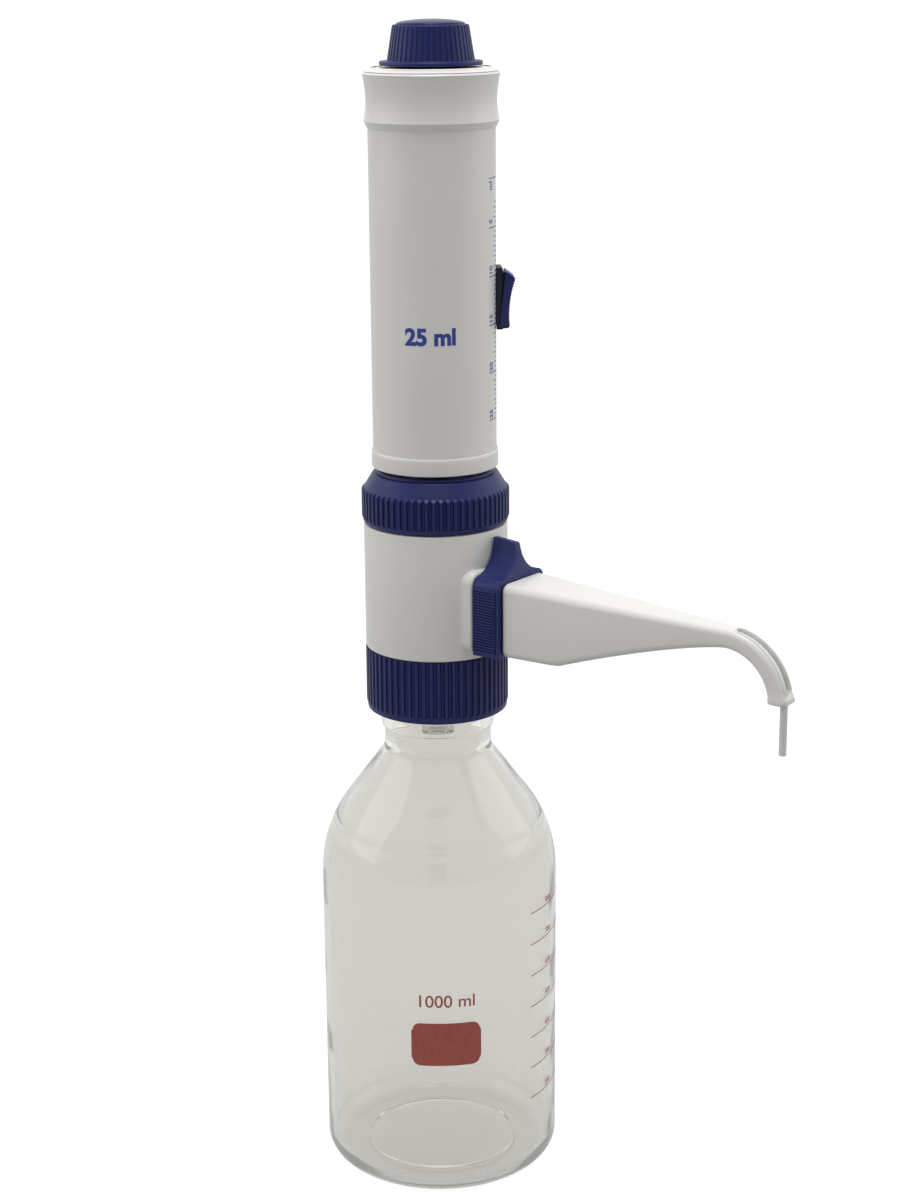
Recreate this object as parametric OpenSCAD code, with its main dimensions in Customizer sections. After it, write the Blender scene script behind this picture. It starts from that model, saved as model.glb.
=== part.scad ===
// Bottle-top dispenser standing on its one-litre screw-neck bottle.
// Millimetres, +Z up, +X along the nozzle, origin at the centre of the bottle's base.
// Pull the sleeve up to fill the glass cylinder, press it down to dispense.

/* [Bottle] */
// Outer diameter of the bottle
bottle_d = 101; // [97:1:107]
// Height of the bottle to its lip
bottle_h = 225; // [215:1:240]
// Thickness of the bottle's wall
glass_t = 2.3; // [1.8:0.1:3]
// Thickness of the bottle's base
base_t = 4; // [3:0.5:6]
// Radius of the heel between wall and base
heel_r = 9; // [7:0.5:12]
// Inner radius of the ring that the bottle stands on
foot_in_r = 32.4; // [28:0.2:35]
// Rise of the hollow under the base
punt_h = 3; // [2:0.5:5]
// Distance from the lip down to the start of the shoulder
shoulder_drop = 93.5; // [88:0.5:98]
// Radius of the shoulder's curve
shoulder_r = 57; // [50:1:62]
// Angle of the shoulder's cone from the vertical
shoulder_angle = 36.5; // [34:0.5:39]
// Outer radius of the neck
neck_r = 22.6; // [21.8:0.1:23.2]
// Inner radius of the neck
neck_in_r = 18.5; // [17:0.1:19]
// Radius of the curve from shoulder to neck
neck_blend_r = 8; // [5:0.5:10]
// Distance from the lip down to the foot of the glass bead
bead_drop = 27.4; // [26:0.1:30]
// Height of the bead
bead_h = 6.8; // [5:0.1:7]
// Outer radius of the bead at its top
bead_r = 24.4; // [23.6:0.1:25]
// Outer radius of the finish that carries the thread
finish_r = 21; // [20.6:0.1:21.6]
// Radius of the mouth
mouth_r = 15.5; // [15:0.1:16.4]

/* [Collar and seat] */
// Thickness of the gasket on the bottle's lip
gasket_t = 1.2; // [0.8:0.1:2]
// Thickness of the seat ring that the collar pulls down
seat_t = 3; // [2.5:0.5:5]
// Outer radius of the ribbed collar nut
collar_r = 29.95; // [29:0.05:31]
// Height of the collar nut
collar_h = 26.8; // [25:0.1:28]
// Thickness of the collar's inner shoulder
collar_shoulder_t = 3.3; // [2.5:0.1:5]
// Number of flutes round the collar
collar_flutes = 60; // [36:2:72]
// Radial room between the finish and the collar, which holds the thread
thread_room = 1.9; // [1.5:0.1:2.2]

/* [Valve block] */
// Outer radius of the white body
body_r = 29.85; // [29:0.05:31]
// Height of the white body
body_h = 52.8; // [50:0.1:58]
// Wall of the white body
body_t = 2.6; // [2:0.1:3.2]
// Radius of the core inside the body
core_r = 19; // [17:0.5:21]
// Radius of the stem that passes through the collar
stem_r = 17; // [15:0.1:18]
// Radius of the spigot that turns in the seat ring
spigot_r = 9; // [8:0.1:10]
// Radius of the liquid channels
channel_r = 2.5; // [2:0.1:3]
// Height of the nozzle's axis above the underside of the body
nozzle_rise = 19.4; // [18:0.1:22]
// Half width of the flat boss behind the nozzle
boss_w = 16.3; // [15.5:0.1:17]
// Distance from the axis to the boss face
boss_x = 30.5; // [30.2:0.1:33]
// Height of the boss above the nozzle's axis
boss_up = 18.5; // [17:0.1:20]

/* [Intake valve] */
// Outer radius of the intake valve housing
intake_r = 6.5; // [6:0.1:7.5]
// Length of the housing below its flange
intake_len = 27; // [26:1:40]
// Radius of the socket for an intake tube
socket_r = 3; // [2.5:0.1:3.5]
// Depth of that socket
socket_depth = 8; // [6:1:10]
// Radius of the intake valve's ball
intake_ball_r = 3; // [2.5:0.1:3.4]

/* [Lock ring] */
// Outer radius of the fluted band
ring_r = 30.6; // [30:0.1:32]
// Height of the lock ring
ring_h = 22.2; // [21:0.1:26]
// Height of the smooth lip below the flutes
ring_lip = 2.5; // [2:0.1:4]
// Height of the fluted band above the ring's foot
ring_band = 15; // [13:0.5:17]
// Radius of the flat top of the ring
ring_top_r = 25.2; // [24:0.1:26]
// Number of flutes round the ring
ring_flutes = 64; // [36:2:72]

/* [Cylinder and piston] */
// Radius of the bore of the glass cylinder
cylinder_bore_r = 9.07; // [8.8:0.01:9.6]
// Wall of the glass cylinder
cylinder_t = 2; // [1.6:0.1:2.4]
// Full stroke of the piston, which is 25 ml in this bore
stroke = 96.8; // [80:0.1:100]
// Length of the piston head
piston_len = 14; // [12:0.5:18]
// Radius of the piston rod
rod_r = 4.5; // [3.5:0.1:5]
// Outer radius of the guard tube round the cylinder
guard_r = 18.2; // [17:0.1:18.4]
// Wall of the guard tube
guard_t = 1.6; // [1.2:0.1:2]

/* [Sleeve] */
// Outer radius of the sliding sleeve
sleeve_r = 25.5; // [25:0.1:26.2]
// Wall of the sleeve
sleeve_t = 1.8; // [1.5:0.1:2]
// Height from the sleeve's foot to the top of its head
sleeve_h = 160.2; // [158:0.1:175]
// Height of the waisted head
head_h = 23.7; // [21:0.1:28]
// Largest radius of the head, at its rim
head_r = 27.36; // [26.8:0.01:29]
// Radius of the rim round the sleeve's foot
foot_rim_r = 26.1; // [25.8:0.1:27]
// Height of that rim
foot_rim_h = 7.2; // [6:0.1:9]

/* [Volume slider] */
// Direction of the slider round the sleeve, from the nozzle
slider_angle = 40; // [35:1:60]
// Stroke that the slider is set to
set_stroke = 48.4; // [20:0.1:80]
// Smallest stroke that the slider can be set to
least_stroke = 9.7; // [5:0.1:15]
// Height of the slider's base
slider_h = 25; // [22:0.5:28]
// Half width of the slider's base
slider_w = 6.5; // [5:0.1:8]
// Half width of the slot in the sleeve
slot_w = 3.5; // [3:0.1:4]
// Height of one step of the toothed rack, half a millilitre
rack_pitch = 1.936; // [1.5:0.001:2.5]
// Travel of the finger button
button_travel = 0.9; // [0.8:0.1:1.2]

/* [Knob] */
// Radius of the knob's flange
knob_flange_r = 20.5; // [20:0.1:22]
// Radius of the knob at its foot
knob_foot_r = 17.4; // [16:0.1:18]
// Radius of the knob at its rim
knob_rim_r = 15.3; // [14:0.1:16]
// Height of the knob to its rim
knob_h = 15; // [12:0.5:20]
// Radius of the domed cap
cap_r = 13.7; // [12:0.1:14]
// Number of flutes round the knob
knob_flutes = 40; // [24:2:48]

/* [Nozzle] */
// Distance from the axis to the centre of the nozzle's tip
nozzle_reach = 164.7; // [150:0.1:180]
// Half width of the nozzle at its root
root_w = 13.6; // [12:0.1:15]
// Half height of the nozzle at its root
root_h = 15.5; // [14:0.1:17]
// Half width of the nozzle at its tip
tip_w = 4.4; // [4:0.1:5]
// Half thickness of the curved tip
tip_h = 3.8; // [3.6:0.1:4.2]
// Radius of the tip's curve, along the middle
bend_r = 23.2; // [21:0.1:26]
// Height of the tip's end above the nozzle's lower edge at the root
tip_rise = 0; // [-4:0.5:4]
// Half width of the slot in the curved tip
tip_slot_w = 2.6; // [2:0.1:2.8]
// Distance of the tube from the middle of the curved tip, towards its slot
tube_out = 1.6; // [0:0.1:1.7]
// Outer radius of the discharge tube
tube_r = 1.5; // [1.2:0.1:1.6]
// Inner radius of the discharge tube
tube_in_r = 0.8; // [0.5:0.1:1]
// Length of tube below the nozzle's tip
tube_drop = 19.6; // [8:0.1:30]

/* [Nozzle clip] */
// Depth of the clip along the nozzle
clip_d = 12.8; // [8:0.1:14]
// Half width of the clip
clip_w = 16.4; // [15.6:0.1:17]
// Thickness of each leg of the clip
clip_leg = 5.2; // [4:0.1:6]
// Height of the clip's fin above the nozzle's axis
fin_up = 31; // [28:0.5:36]
// Number of grip ridges on each leg
grip_ridges = 23; // [10:1:24]

/* [Hidden] */
// Clearance between faces of pieces that move past each other
gap = 0.3;
// Radial clearance of a shaft that turns or slides in its bore
fit = 0.05;
// Extra length of a cutter past the face that it cuts
over = 1;
// Smallness of an edge break
edge = 0.5;

glass = [0.82, 0.88, 0.88, 0.45];
white = [0.92, 0.92, 0.90];
navy = [0.13, 0.16, 0.36];
dark = [0.09, 0.10, 0.16];
ptfe = [0.97, 0.97, 0.95];
steel = [0.72, 0.73, 0.75];
ceramic = [0.95, 0.93, 0.88];
silicone = [0.85, 0.85, 0.86];

bottle_r = bottle_d / 2;
bead_z = bottle_h - bead_drop;
shoulder_z = bottle_h - shoulder_drop;
lip_r = 1.2;

seat_z = bottle_h + gasket_t;
seat_top = seat_z + seat_t;
collar_top = seat_top + gap + collar_shoulder_t;
collar_z = collar_top - collar_h;
collar_bore_r = finish_r + thread_room;
collar_hole_r = stem_r + gap;
body_z = collar_top + gap;
body_top = body_z + body_h;
nozzle_z = body_z + nozzle_rise;

flute_r = 0.9;
flute_depth = 0.8;

// Inside of the white body
core_flange_r = body_r - body_t - fit;
core_flange_t = 5;
deck_z = body_top + 4.1;
deck_h = 5;
deck_r = ring_r - 4.1;
arm_r = 8;
arm_x = boss_x + 5.5;
chamber_r = 4.5;
chamber_x = 20;

// Intake valve housing, screwed up under the spigot
intake_flange_r = 12;
intake_flange_t = 2;
intake_top = seat_z - gap;
intake_z = intake_top - intake_flange_t - intake_len;
ball_room_r = intake_ball_r + 0.6;
intake_hole_r = intake_ball_r - 0.8;
intake_seat_z = intake_z + socket_depth + 4;
intake_seat_t = 2;
intake_ball_z = intake_seat_z + intake_seat_t + sqrt(pow(intake_ball_r, 2) - pow(intake_hole_r, 2)) + fit;
ball_travel = 1.5;
cage_z = intake_ball_z + intake_ball_r + ball_travel + gap;

// Cylinder, seal and guard tube on the deck
seal_t = 1;
cup_r = cylinder_bore_r + cylinder_t + 3;
cylinder_z = deck_z + seal_t;
cylinder_flange_t = deck_h - seal_t;
guard_z = deck_z + deck_h;
guard_flange_t = 3.7;
guard_flange_r = deck_r - 4;
ring_z = body_top + 0.2;
ring_top = ring_z + ring_h;
ring_shoulder_z = guard_z + guard_flange_t + gap;
piston_z = cylinder_z + 0.5;
piston_top = piston_z + piston_len;
cylinder_top = piston_top + stroke + 22;
stop_r = guard_r + 1.4;
stop_plate_t = 3;

// Sleeve
sleeve_z = ring_top + 1.5;
sleeve_top = sleeve_z + sleeve_h;
head_z = sleeve_top - head_h;
sleeve_in_r = sleeve_r - sleeve_t;
head_plate_t = 4;
tube_z = sleeve_z + 1.4;
tube_top = head_z + 3;
knob_z = sleeve_top + gap;
knob_rim_z = knob_z + knob_h;
flange_t = 2.4;
nut_r = 8;
nut_h = 6;

// Slider: at full stroke it stands lowest, and each millimetre up is a millimetre less stroke
slider_z = sleeve_z + 20.2 + stroke - set_stroke;
slider_neck_h = 9;
slot_z = slider_z - (stroke - set_stroke) - slider_neck_h - over;
slot_top = slider_z + (set_stroke - least_stroke) + slider_neck_h + over;
saddle_r = sleeve_r + gap;
saddle_t = 0.9;
frame_t = 1;
press_room = 0.1;
core_x = saddle_r + saddle_t + button_travel + press_room;
skirt_t = 0.8;
skirt_x = sleeve_r + button_travel;
frame_w = slider_w - skirt_t - gap;
core_w = frame_w - frame_t - gap;
core_h = slider_h / 2 - 2;
frame_x = core_x + press_room;
button_x = frame_x + button_travel + gap;
rack_in_r = sleeve_in_r - 0.9;
rack_angle = 14;
rack_tooth = 0.45;
pawl_r = rack_in_r - 0.3;
pawl_t = 0.9;
pawl_h = 5;
plunger_r = 1.6;
dish_t = 1.3;
dish_r = 45;
dish_z = -7;
ridge_step = 1.8;
spring_room_r = 2.7;

// Nozzle
root_x = boss_x + clip_d + 2 * gap;
neck_w = clip_w - clip_leg - gap;
neck_h = 11;
bend_x = nozzle_reach - bend_r;
bend_z = nozzle_z - root_h + tip_rise;
straight = bend_x - root_x;
tube_x = boss_x + 3.5;
fitting_x = boss_x + 0.5;
channel_room = 0.2;
// Angle at which the straight tube runs into the bend, as a tangent from the root
tangent_x = root_x - bend_x;
tangent_z = nozzle_z - bend_z;
tube_bend_r = bend_r + tube_out;
tangent = atan2(tangent_z, tangent_x) - acos(tube_bend_r / norm([tangent_x, tangent_z]));
lean = tangent - 90;
tube_start_z = nozzle_z - (root_x - tube_x) * tan(lean);
tube_run = (bend_x + tube_bend_r * cos(tangent) - tube_x) / cos(lean);
tube_step = 0.02;
tube_lap = 0.5;
tip_end_angle = 12;
slot_start = 15;
slot_sweep = 62;
discharge_hole_r = 1.9;
discharge_ball_r = 2.8;
discharge_seat_t = 2;
discharge_ball_x = chamber_x + discharge_seat_t
    + sqrt(pow(discharge_ball_r, 2) - pow(discharge_hole_r, 2)) + fit;

// Clip
clip_x = boss_x + gap;
clip_z = nozzle_z - root_h - 0.2;
clip_roof = nozzle_z + neck_h + gap;
fin_w = 1.2;
fin_foot_w = 1.9;
fin_straight = 2.5;
fin_taper = 10;
fin_slope = 5;
fin_lean = 7.6;
sweep_r = 11.5;
shoulder_fillet = 4;

function arc(cx, cy, r, a0, a1, n) =
    [for (i = [0:n]) let (a = a0 + (a1 - a0) * i / n) [cx + r * cos(a), cy + r * sin(a)]];

// Quarter ellipse from the axis out to radius r, of height h above z
function dome(r, h, z, n) = [for (i = [0:n]) [r * sin(90 * i / n), z + h * cos(90 * i / n)]];

// Height of the centre of the curve between the shoulder's cone and the neck
function neck_blend_z(r, bend, neck, blend) =
    shoulder_z + (bend + blend) * sin(shoulder_angle)
    + (r - neck - (bend + blend) * (1 - cos(shoulder_angle))) / tan(shoulder_angle);

// Rounded rectangle about (x, z), leaning by angle a, of half height h, half width w and corner r
function section(x, z, a, h, w, r) = [for (c = [0:3], i = [0:3])
    let (b = 90 * c + 30 * i, su = (c == 0 || c == 3) ? 1 : -1, sv = c < 2 ? 1 : -1,
        u = su * (w - r) + r * cos(b), v = sv * (h - r) + r * sin(b))
    [x + v * cos(a), u, z + v * sin(a)]];

// Lower and upper edge of the nozzle at the share f of its straight length
function nozzle_bottom(f) = nozzle_z - root_h + (f < 0.25 ? 0
    : (bend_z + bend_r - tip_h - nozzle_z + root_h) * (1 - pow(1 - (f - 0.25) / 0.75, 1.3)));
function nozzle_top(f) = nozzle_z + root_h + (bend_z + bend_r + tip_h - nozzle_z - root_h) * f;

function reversed(list) = [for (i = [len(list) - 1:-1:0]) list[i]];

module turned(points) rotate_extrude($fn = 96) polygon(points);

module ring(r_in, r_out, z, h) translate([0, 0, z]) difference() {
    cylinder(r = r_out, h = h, $fn = 96);
    translate([0, 0, -over]) cylinder(r = r_in, h = h + 2 * over, $fn = 96);
}

// Cylinder along +X from x, at the height of the nozzle's axis
module across(r, x, length) translate([x, 0, nozzle_z]) rotate([0, 90, 0])
    cylinder(r = r, h = length, $fn = 48);

// Round-bottomed flutes cut into a band of radius r
module flutes(count, r, z, h)
    for (i = [0:count - 1]) rotate(i * 360 / count)
        translate([r + flute_r - flute_depth, 0, z]) cylinder(r = flute_r, h = h, $fn = 24);

module rounded(w, h, r) {
    translate([-w + r, -h]) square([2 * (w - r), 2 * h]);
    translate([-w, -h + r]) square([2 * w, 2 * (h - r)]);
    for (x = [-1, 1], y = [-1, 1]) translate([x * (w - r), y * (h - r)]) circle(r = r, $fn = 32);
}

// A coil spring along +Z
module coil(r, wire, h, turns) {
    steps = 12 * turns;
    sides = 6;
    rings = [for (i = [0:steps]) [for (j = [0:sides - 1])
        let (a = 30 * i, b = 360 * j / sides, q = r + wire * cos(b))
        [q * cos(a), q * sin(a), wire + (h - 2 * wire) * i / steps + wire * sin(b)]]];
    loft(rings);
}

// Closed skin over a list of rings of points, each ring seen anticlockwise from its far end
module loft(rings) {
    m = len(rings[0]);
    n = len(rings);
    skin = [for (i = [0:n - 2], j = [0:m - 1]) let (k = (j + 1) % m)
        [i * m + j, (i + 1) * m + j, (i + 1) * m + k, i * m + k]];
    ends = [[for (j = [0:m - 1]) j], [for (j = [m - 1:-1:0]) (n - 1) * m + j]];
    polyhedron(points = [for (r = rings) each r], faces = concat(skin, ends), convexity = 6);
}

module glass_bottle() color(glass) {
    inner_r = bottle_r - glass_t;
    inner_bend = shoulder_r - glass_t;
    outer_blend_z = neck_blend_z(bottle_r, shoulder_r, neck_r, neck_blend_r);
    inner_blend_z = neck_blend_z(inner_r, inner_bend, neck_in_r, neck_blend_r);
    outside = concat(
        dome(foot_in_r, punt_h, 0, 4),
        arc(bottle_r - heel_r, heel_r, heel_r, -90, 0, 5),
        arc(bottle_r - shoulder_r, shoulder_z, shoulder_r, 0, shoulder_angle, 6),
        arc(neck_r + neck_blend_r, outer_blend_z, neck_blend_r, 180 + shoulder_angle, 180, 4),
        [[neck_r, bead_z], [neck_r + 1, bead_z + edge], [bead_r, bead_z + bead_h - 2 * edge],
            [bead_r - edge, bead_z + bead_h], [finish_r, bead_z + bead_h]],
        arc(finish_r - lip_r, bottle_h - lip_r, lip_r, 0, 90, 3));
    inside = concat(
        dome(foot_in_r, punt_h, base_t, 4),
        arc(bottle_r - heel_r, base_t + heel_r - glass_t, heel_r - glass_t, -90, 0, 5),
        arc(bottle_r - shoulder_r, shoulder_z, inner_bend, 0, shoulder_angle, 6),
        arc(neck_in_r + neck_blend_r, inner_blend_z, neck_blend_r, 180 + shoulder_angle, 180, 4),
        [[neck_in_r, bead_z + bead_h - 2 * edge], [mouth_r, bead_z + bead_h + 4]],
        arc(mouth_r + lip_r, bottle_h - lip_r, lip_r, 180, 90, 3));
    turned(concat(outside, reversed(inside)));
}

module bottle_gasket() color(silicone)
    ring(mouth_r + lip_r, finish_r - lip_r, bottle_h, gasket_t);

module seat_ring() color(ptfe) {
    out_r = collar_bore_r - 1;
    in_r = spigot_r + fit;
    turned([[in_r, seat_z], [out_r - edge, seat_z], [out_r, seat_z + edge],
        [out_r, seat_top - edge], [out_r - edge, seat_top], [in_r, seat_top]]);
}

module collar_nut() color(navy) {
    lip = 2.6;
    lip_out_r = collar_r - 0.45;
    shoulder_z = collar_top - collar_shoulder_t;
    difference() {
        turned([[collar_bore_r, collar_z], [lip_out_r - edge, collar_z], [lip_out_r, collar_z + edge],
            [lip_out_r, collar_z + lip], [collar_r, collar_z + lip], [collar_r, collar_top - edge],
            [collar_r - edge, collar_top], [collar_hole_r, collar_top],
            [collar_hole_r, shoulder_z], [collar_bore_r, shoulder_z]]);
        flutes(collar_flutes, collar_r, collar_z + lip + edge, collar_h);
    }
}

module valve_block() color(ptfe) difference() {
    union() {
        turned([[0, intake_top], [spigot_r, intake_top], [spigot_r, seat_top], [stem_r, seat_top],
            [stem_r, body_z], [core_flange_r, body_z], [core_flange_r, body_z + core_flange_t],
            [core_r, body_z + core_flange_t], [core_r, body_top - core_flange_t],
            [core_flange_r, body_top - core_flange_t], [core_flange_r, body_top],
            [deck_r, body_top], [deck_r, guard_z], [cup_r + fit, guard_z], [cup_r + fit, deck_z],
            [0, deck_z]]);
        across(arm_r, 0, arm_x);
    }
    translate([0, 0, intake_top - over])
        cylinder(r = channel_r, h = deck_z - intake_top + 2 * over, $fn = 32);
    across(channel_r, 0, chamber_x + over);
    across(chamber_r, chamber_x, arm_x - chamber_x + over);
}

module block_shell() color(white) {
    boss_h = (boss_up + root_h + 0.5) / 2;
    boss_mid = nozzle_z + boss_up - boss_h;
    difference() {
        union() {
            turned([[0, body_z], [body_r - edge, body_z], [body_r, body_z + edge],
                [body_r, body_top - edge], [body_r - edge, body_top], [0, body_top]]);
            translate([0, 0, boss_mid]) rotate([90, 0, 90])
                linear_extrude(height = boss_x) rounded(boss_w, boss_h, 5.5);
        }
        translate([0, 0, body_z - over])
            cylinder(r = body_r - body_t, h = body_h + 2 * over, $fn = 96);
        across(arm_r + fit, 0, boss_x + over);
    }
}

module intake_valve_housing() color(ptfe) {
    bore = ball_room_r + fit;
    difference() {
        turned([[0, intake_z], [intake_r - edge, intake_z], [intake_r, intake_z + edge],
            [intake_r, intake_top - intake_flange_t - 1], [intake_r + 1, intake_top - intake_flange_t],
            [intake_flange_r, intake_top - intake_flange_t], [intake_flange_r, intake_top],
            [0, intake_top]]);
        translate([0, 0, intake_z - over]) cylinder(r = socket_r, h = socket_depth + over, $fn = 48);
        translate([0, 0, intake_z]) cylinder(r = channel_r - edge, h = socket_depth + 6, $fn = 32);
        translate([0, 0, intake_seat_z]) cylinder(r = bore, h = intake_top - intake_seat_z + over, $fn = 48);
    }
}

module intake_seat() color(ptfe) ring(intake_hole_r, ball_room_r, intake_seat_z, intake_seat_t);

module intake_ball() color(ceramic) translate([0, 0, intake_ball_z]) sphere(r = intake_ball_r, $fn = 48);

// A slotted bush that keeps the ball near its seat and lets liquid pass
module ball_cage() color(ptfe) difference() {
    translate([0, 0, cage_z]) cylinder(r = ball_room_r, h = intake_top - cage_z, $fn = 48);
    translate([0, 0, cage_z - over]) cylinder(r = 1, h = intake_top - cage_z + 2 * over, $fn = 32);
    for (a = [0, 60, 120]) rotate(a)
        translate([-ball_room_r - over, -0.6, cage_z - over]) cube([2 * (ball_room_r + over), 1.2, over + 3]);
}

module cylinder_seal() color(ptfe) ring(cylinder_bore_r, cup_r - fit, deck_z, seal_t);

module glass_cylinder() color(glass) {
    out_r = cylinder_bore_r + cylinder_t;
    flange_top = cylinder_z + cylinder_flange_t;
    turned([[cylinder_bore_r, cylinder_z], [cup_r - fit, cylinder_z], [cup_r - fit, flange_top],
        [out_r, flange_top], [out_r, cylinder_top - edge], [out_r - edge, cylinder_top],
        [cylinder_bore_r + edge, cylinder_top], [cylinder_bore_r, cylinder_top - edge]]);
}

module guard_tube() color(glass)
    turned([[cylinder_bore_r + cylinder_t + fit, guard_z], [guard_flange_r, guard_z],
        [guard_flange_r, guard_z + guard_flange_t], [guard_r, guard_z + guard_flange_t],
        [guard_r, cylinder_top], [guard_r - guard_t, cylinder_top],
        [guard_r - guard_t, guard_z + guard_flange_t],
        [cylinder_bore_r + cylinder_t + fit, guard_z + guard_flange_t]]);

// Cap on the guard tube: it centres the cylinder, guides the rod and is where the stroke ends
module stop_cap() color(white) {
    skirt = 4;
    plug_r = guard_r - guard_t - fit;
    turned([[rod_r + fit, cylinder_top], [plug_r, cylinder_top], [guard_r + fit, cylinder_top],
        [guard_r + fit, cylinder_top - skirt], [stop_r - edge, cylinder_top - skirt],
        [stop_r, cylinder_top - skirt + edge], [stop_r, cylinder_top + stop_plate_t - edge],
        [stop_r - edge, cylinder_top + stop_plate_t], [rod_r + fit, cylinder_top + stop_plate_t]]);
}

module lock_ring() color(navy) {
    cavity_r = deck_r + gap;
    hole_r = guard_r + gap;
    cone_z = ring_z + ring_band;
    difference() {
        turned([[cavity_r, ring_z], [ring_r - 3 * edge, ring_z], [ring_r - edge, ring_z + ring_lip],
            [ring_r, ring_z + ring_lip], [ring_r, cone_z], [ring_top_r + edge, ring_top - edge],
            [ring_top_r - edge, ring_top], [hole_r, ring_top],
            [hole_r, ring_shoulder_z], [cavity_r, ring_shoulder_z]]);
        flutes(ring_flutes, ring_r, ring_z + ring_lip, ring_band);
    }
}

module piston_head() color(ptfe) {
    r = cylinder_bore_r - fit;
    groove_r = r - 1;
    turned([[0, piston_z], [r - edge, piston_z], [r, piston_z + edge], [r, piston_z + 3],
        [groove_r, piston_z + 3], [groove_r, piston_z + 6], [r, piston_z + 6],
        [r, piston_top - edge], [r - edge, piston_top], [0, piston_top]]);
}

module piston_seal() color(dark)
    ring(cylinder_bore_r - fit - 1, cylinder_bore_r - fit / 2, piston_z + 3 + fit, 3 - 2 * fit);

module piston_rod() color(ptfe) translate([0, 0, piston_top])
    cylinder(r = rod_r, h = sleeve_top + nut_h - 1 - piston_top, $fn = 48);

// Nut on the rod's end, on top of the head and inside the knob
module rod_nut() color(white) difference() {
    translate([0, 0, sleeve_top]) cylinder(r = nut_r, h = nut_h, $fn = 6);
    translate([0, 0, sleeve_top - over]) cylinder(r = rod_r + fit, h = nut_h + 2 * over, $fn = 48);
}

module outer_sleeve() color(white) difference() {
    ring(sleeve_in_r, sleeve_r, tube_z, tube_top - tube_z);
    rotate(slider_angle) translate([guard_r, -slot_w, slot_z]) cube([sleeve_r, 2 * slot_w, slot_top - slot_z]);
}

module sleeve_end_ring() color(white) {
    guide_r = guard_r + gap;
    rim_top = sleeve_z + foot_rim_h;
    turned(concat(
        [[guide_r, sleeve_z], [foot_rim_r - edge, sleeve_z], [foot_rim_r, sleeve_z + edge]],
        [[foot_rim_r, rim_top - edge], [sleeve_r + fit, rim_top]],
        [[sleeve_r + fit, tube_z], [guide_r, tube_z]]));
}

module sleeve_head() color(white) {
    waist_r = head_r - 1.3;
    socket_r = sleeve_r + fit;
    rim_z = sleeve_top - 2.4;
    waist_z = head_z + 10.5;
    plate_z = sleeve_top - head_plate_t;
    difference() {
        turned([[socket_r, head_z], [sleeve_r + 0.3, head_z], [waist_r + 0.7, head_z + 2.8],
            [waist_r + 0.15, waist_z - 3], [waist_r, waist_z], [waist_r + 0.15, waist_z + 3],
            [waist_r + 0.75, waist_z + 7], [head_r, rim_z], [head_r - edge, rim_z + edge],
            [knob_flange_r + 2, sleeve_top], [0, sleeve_top], [0, plate_z],
            [sleeve_in_r, plate_z], [sleeve_in_r, tube_top], [socket_r, tube_top]]);
        translate([0, 0, plate_z - over]) cylinder(r = rod_r + fit, h = head_plate_t + 2 * over, $fn = 48);
    }
}

module top_knob() color(navy) {
    hollow_r = cap_r - 1.5;
    recess_z = knob_rim_z - 1.2;
    difference() {
        turned([[hollow_r, knob_z], [knob_flange_r, knob_z], [knob_flange_r, knob_z + flange_t - edge],
            [knob_flange_r - edge, knob_z + flange_t], [knob_foot_r, knob_z + flange_t],
            [knob_rim_r, knob_rim_z - edge], [knob_rim_r - edge, knob_rim_z], [cap_r + fit, knob_rim_z],
            [cap_r + fit, recess_z], [0, recess_z], [0, recess_z - 2], [hollow_r, recess_z - 2]]);
        for (i = [0:knob_flutes - 1]) rotate(i * 360 / knob_flutes)
            translate([knob_foot_r + 0.35, 0, knob_z + flange_t])
                rotate([0, -atan((knob_foot_r - knob_rim_r) / (knob_h - flange_t)), 0])
                    cylinder(r = 0.7, h = knob_h + over, $fn = 24);
    }
}

module knob_cap() color(navy) {
    floor_z = knob_rim_z - 1.2;
    turned(concat([[0, floor_z], [cap_r, floor_z], [cap_r, knob_rim_z + 0.6]],
        reversed(dome(cap_r - edge, 1.6, knob_rim_z + 1, 4))));
}

// One straight toothed strip, standing on z, with its teeth towards the axis
module toothed(z, count, depth, facing) {
    back = facing * (depth + 0.3);
    translate([0, 2, z]) rotate([90, 0, 0]) linear_extrude(height = 4) polygon(concat(
        [[back, 0]],
        [for (i = [0:count - 1], p = [[0, 0], [0, 0.35], [facing * depth, 0.5], [facing * depth, 0.85]])
            [p[0], (i + p[1]) * rack_pitch]],
        [[0, count * rack_pitch], [back, count * rack_pitch]]));
}

// Two toothed strips inside the sleeve, beside its slot
module slider_rack() color(white) {
    count = floor((slot_top - slot_z) / rack_pitch);
    for (side = [-1, 1]) rotate(slider_angle + side * rack_angle)
        translate([rack_in_r, 0, 0]) toothed(slot_z, count, rack_tooth, 1);
}

module at_slider() rotate(slider_angle) translate([0, 0, slider_z]) children();

// Saddle on the sleeve with a frame round the button, and a neck that runs in the sleeve's slot
module slider_base() color(dark) at_slider() difference() {
    union() {
        difference() {
            translate([0, -frame_w, -slider_h / 2]) cube([frame_x, 2 * frame_w, slider_h]);
            translate([0, 0, -slider_h / 2 - over]) cylinder(r = saddle_r, h = slider_h + 2 * over, $fn = 96);
            difference() {
                translate([0, -core_w - gap, -core_h - gap])
                    cube([frame_x + over, 2 * (core_w + gap), 2 * (core_h + gap)]);
                translate([0, 0, -slider_h / 2])
                    cylinder(r = saddle_r + saddle_t, h = slider_h, $fn = 96);
            }
        }
        translate([sleeve_in_r, -slot_w + gap, -slider_neck_h])
            cube([sleeve_t + 3 * gap, 2 * (slot_w - gap), 2 * slider_neck_h]);
    }
    rotate([0, 90, 0]) cylinder(r = plunger_r + fit, h = 2 * sleeve_r, $fn = 32);
    translate([sleeve_r, 0, 0]) rotate([0, 90, 0]) cylinder(r = spring_room_r, h = sleeve_r, $fn = 32);
}

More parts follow.
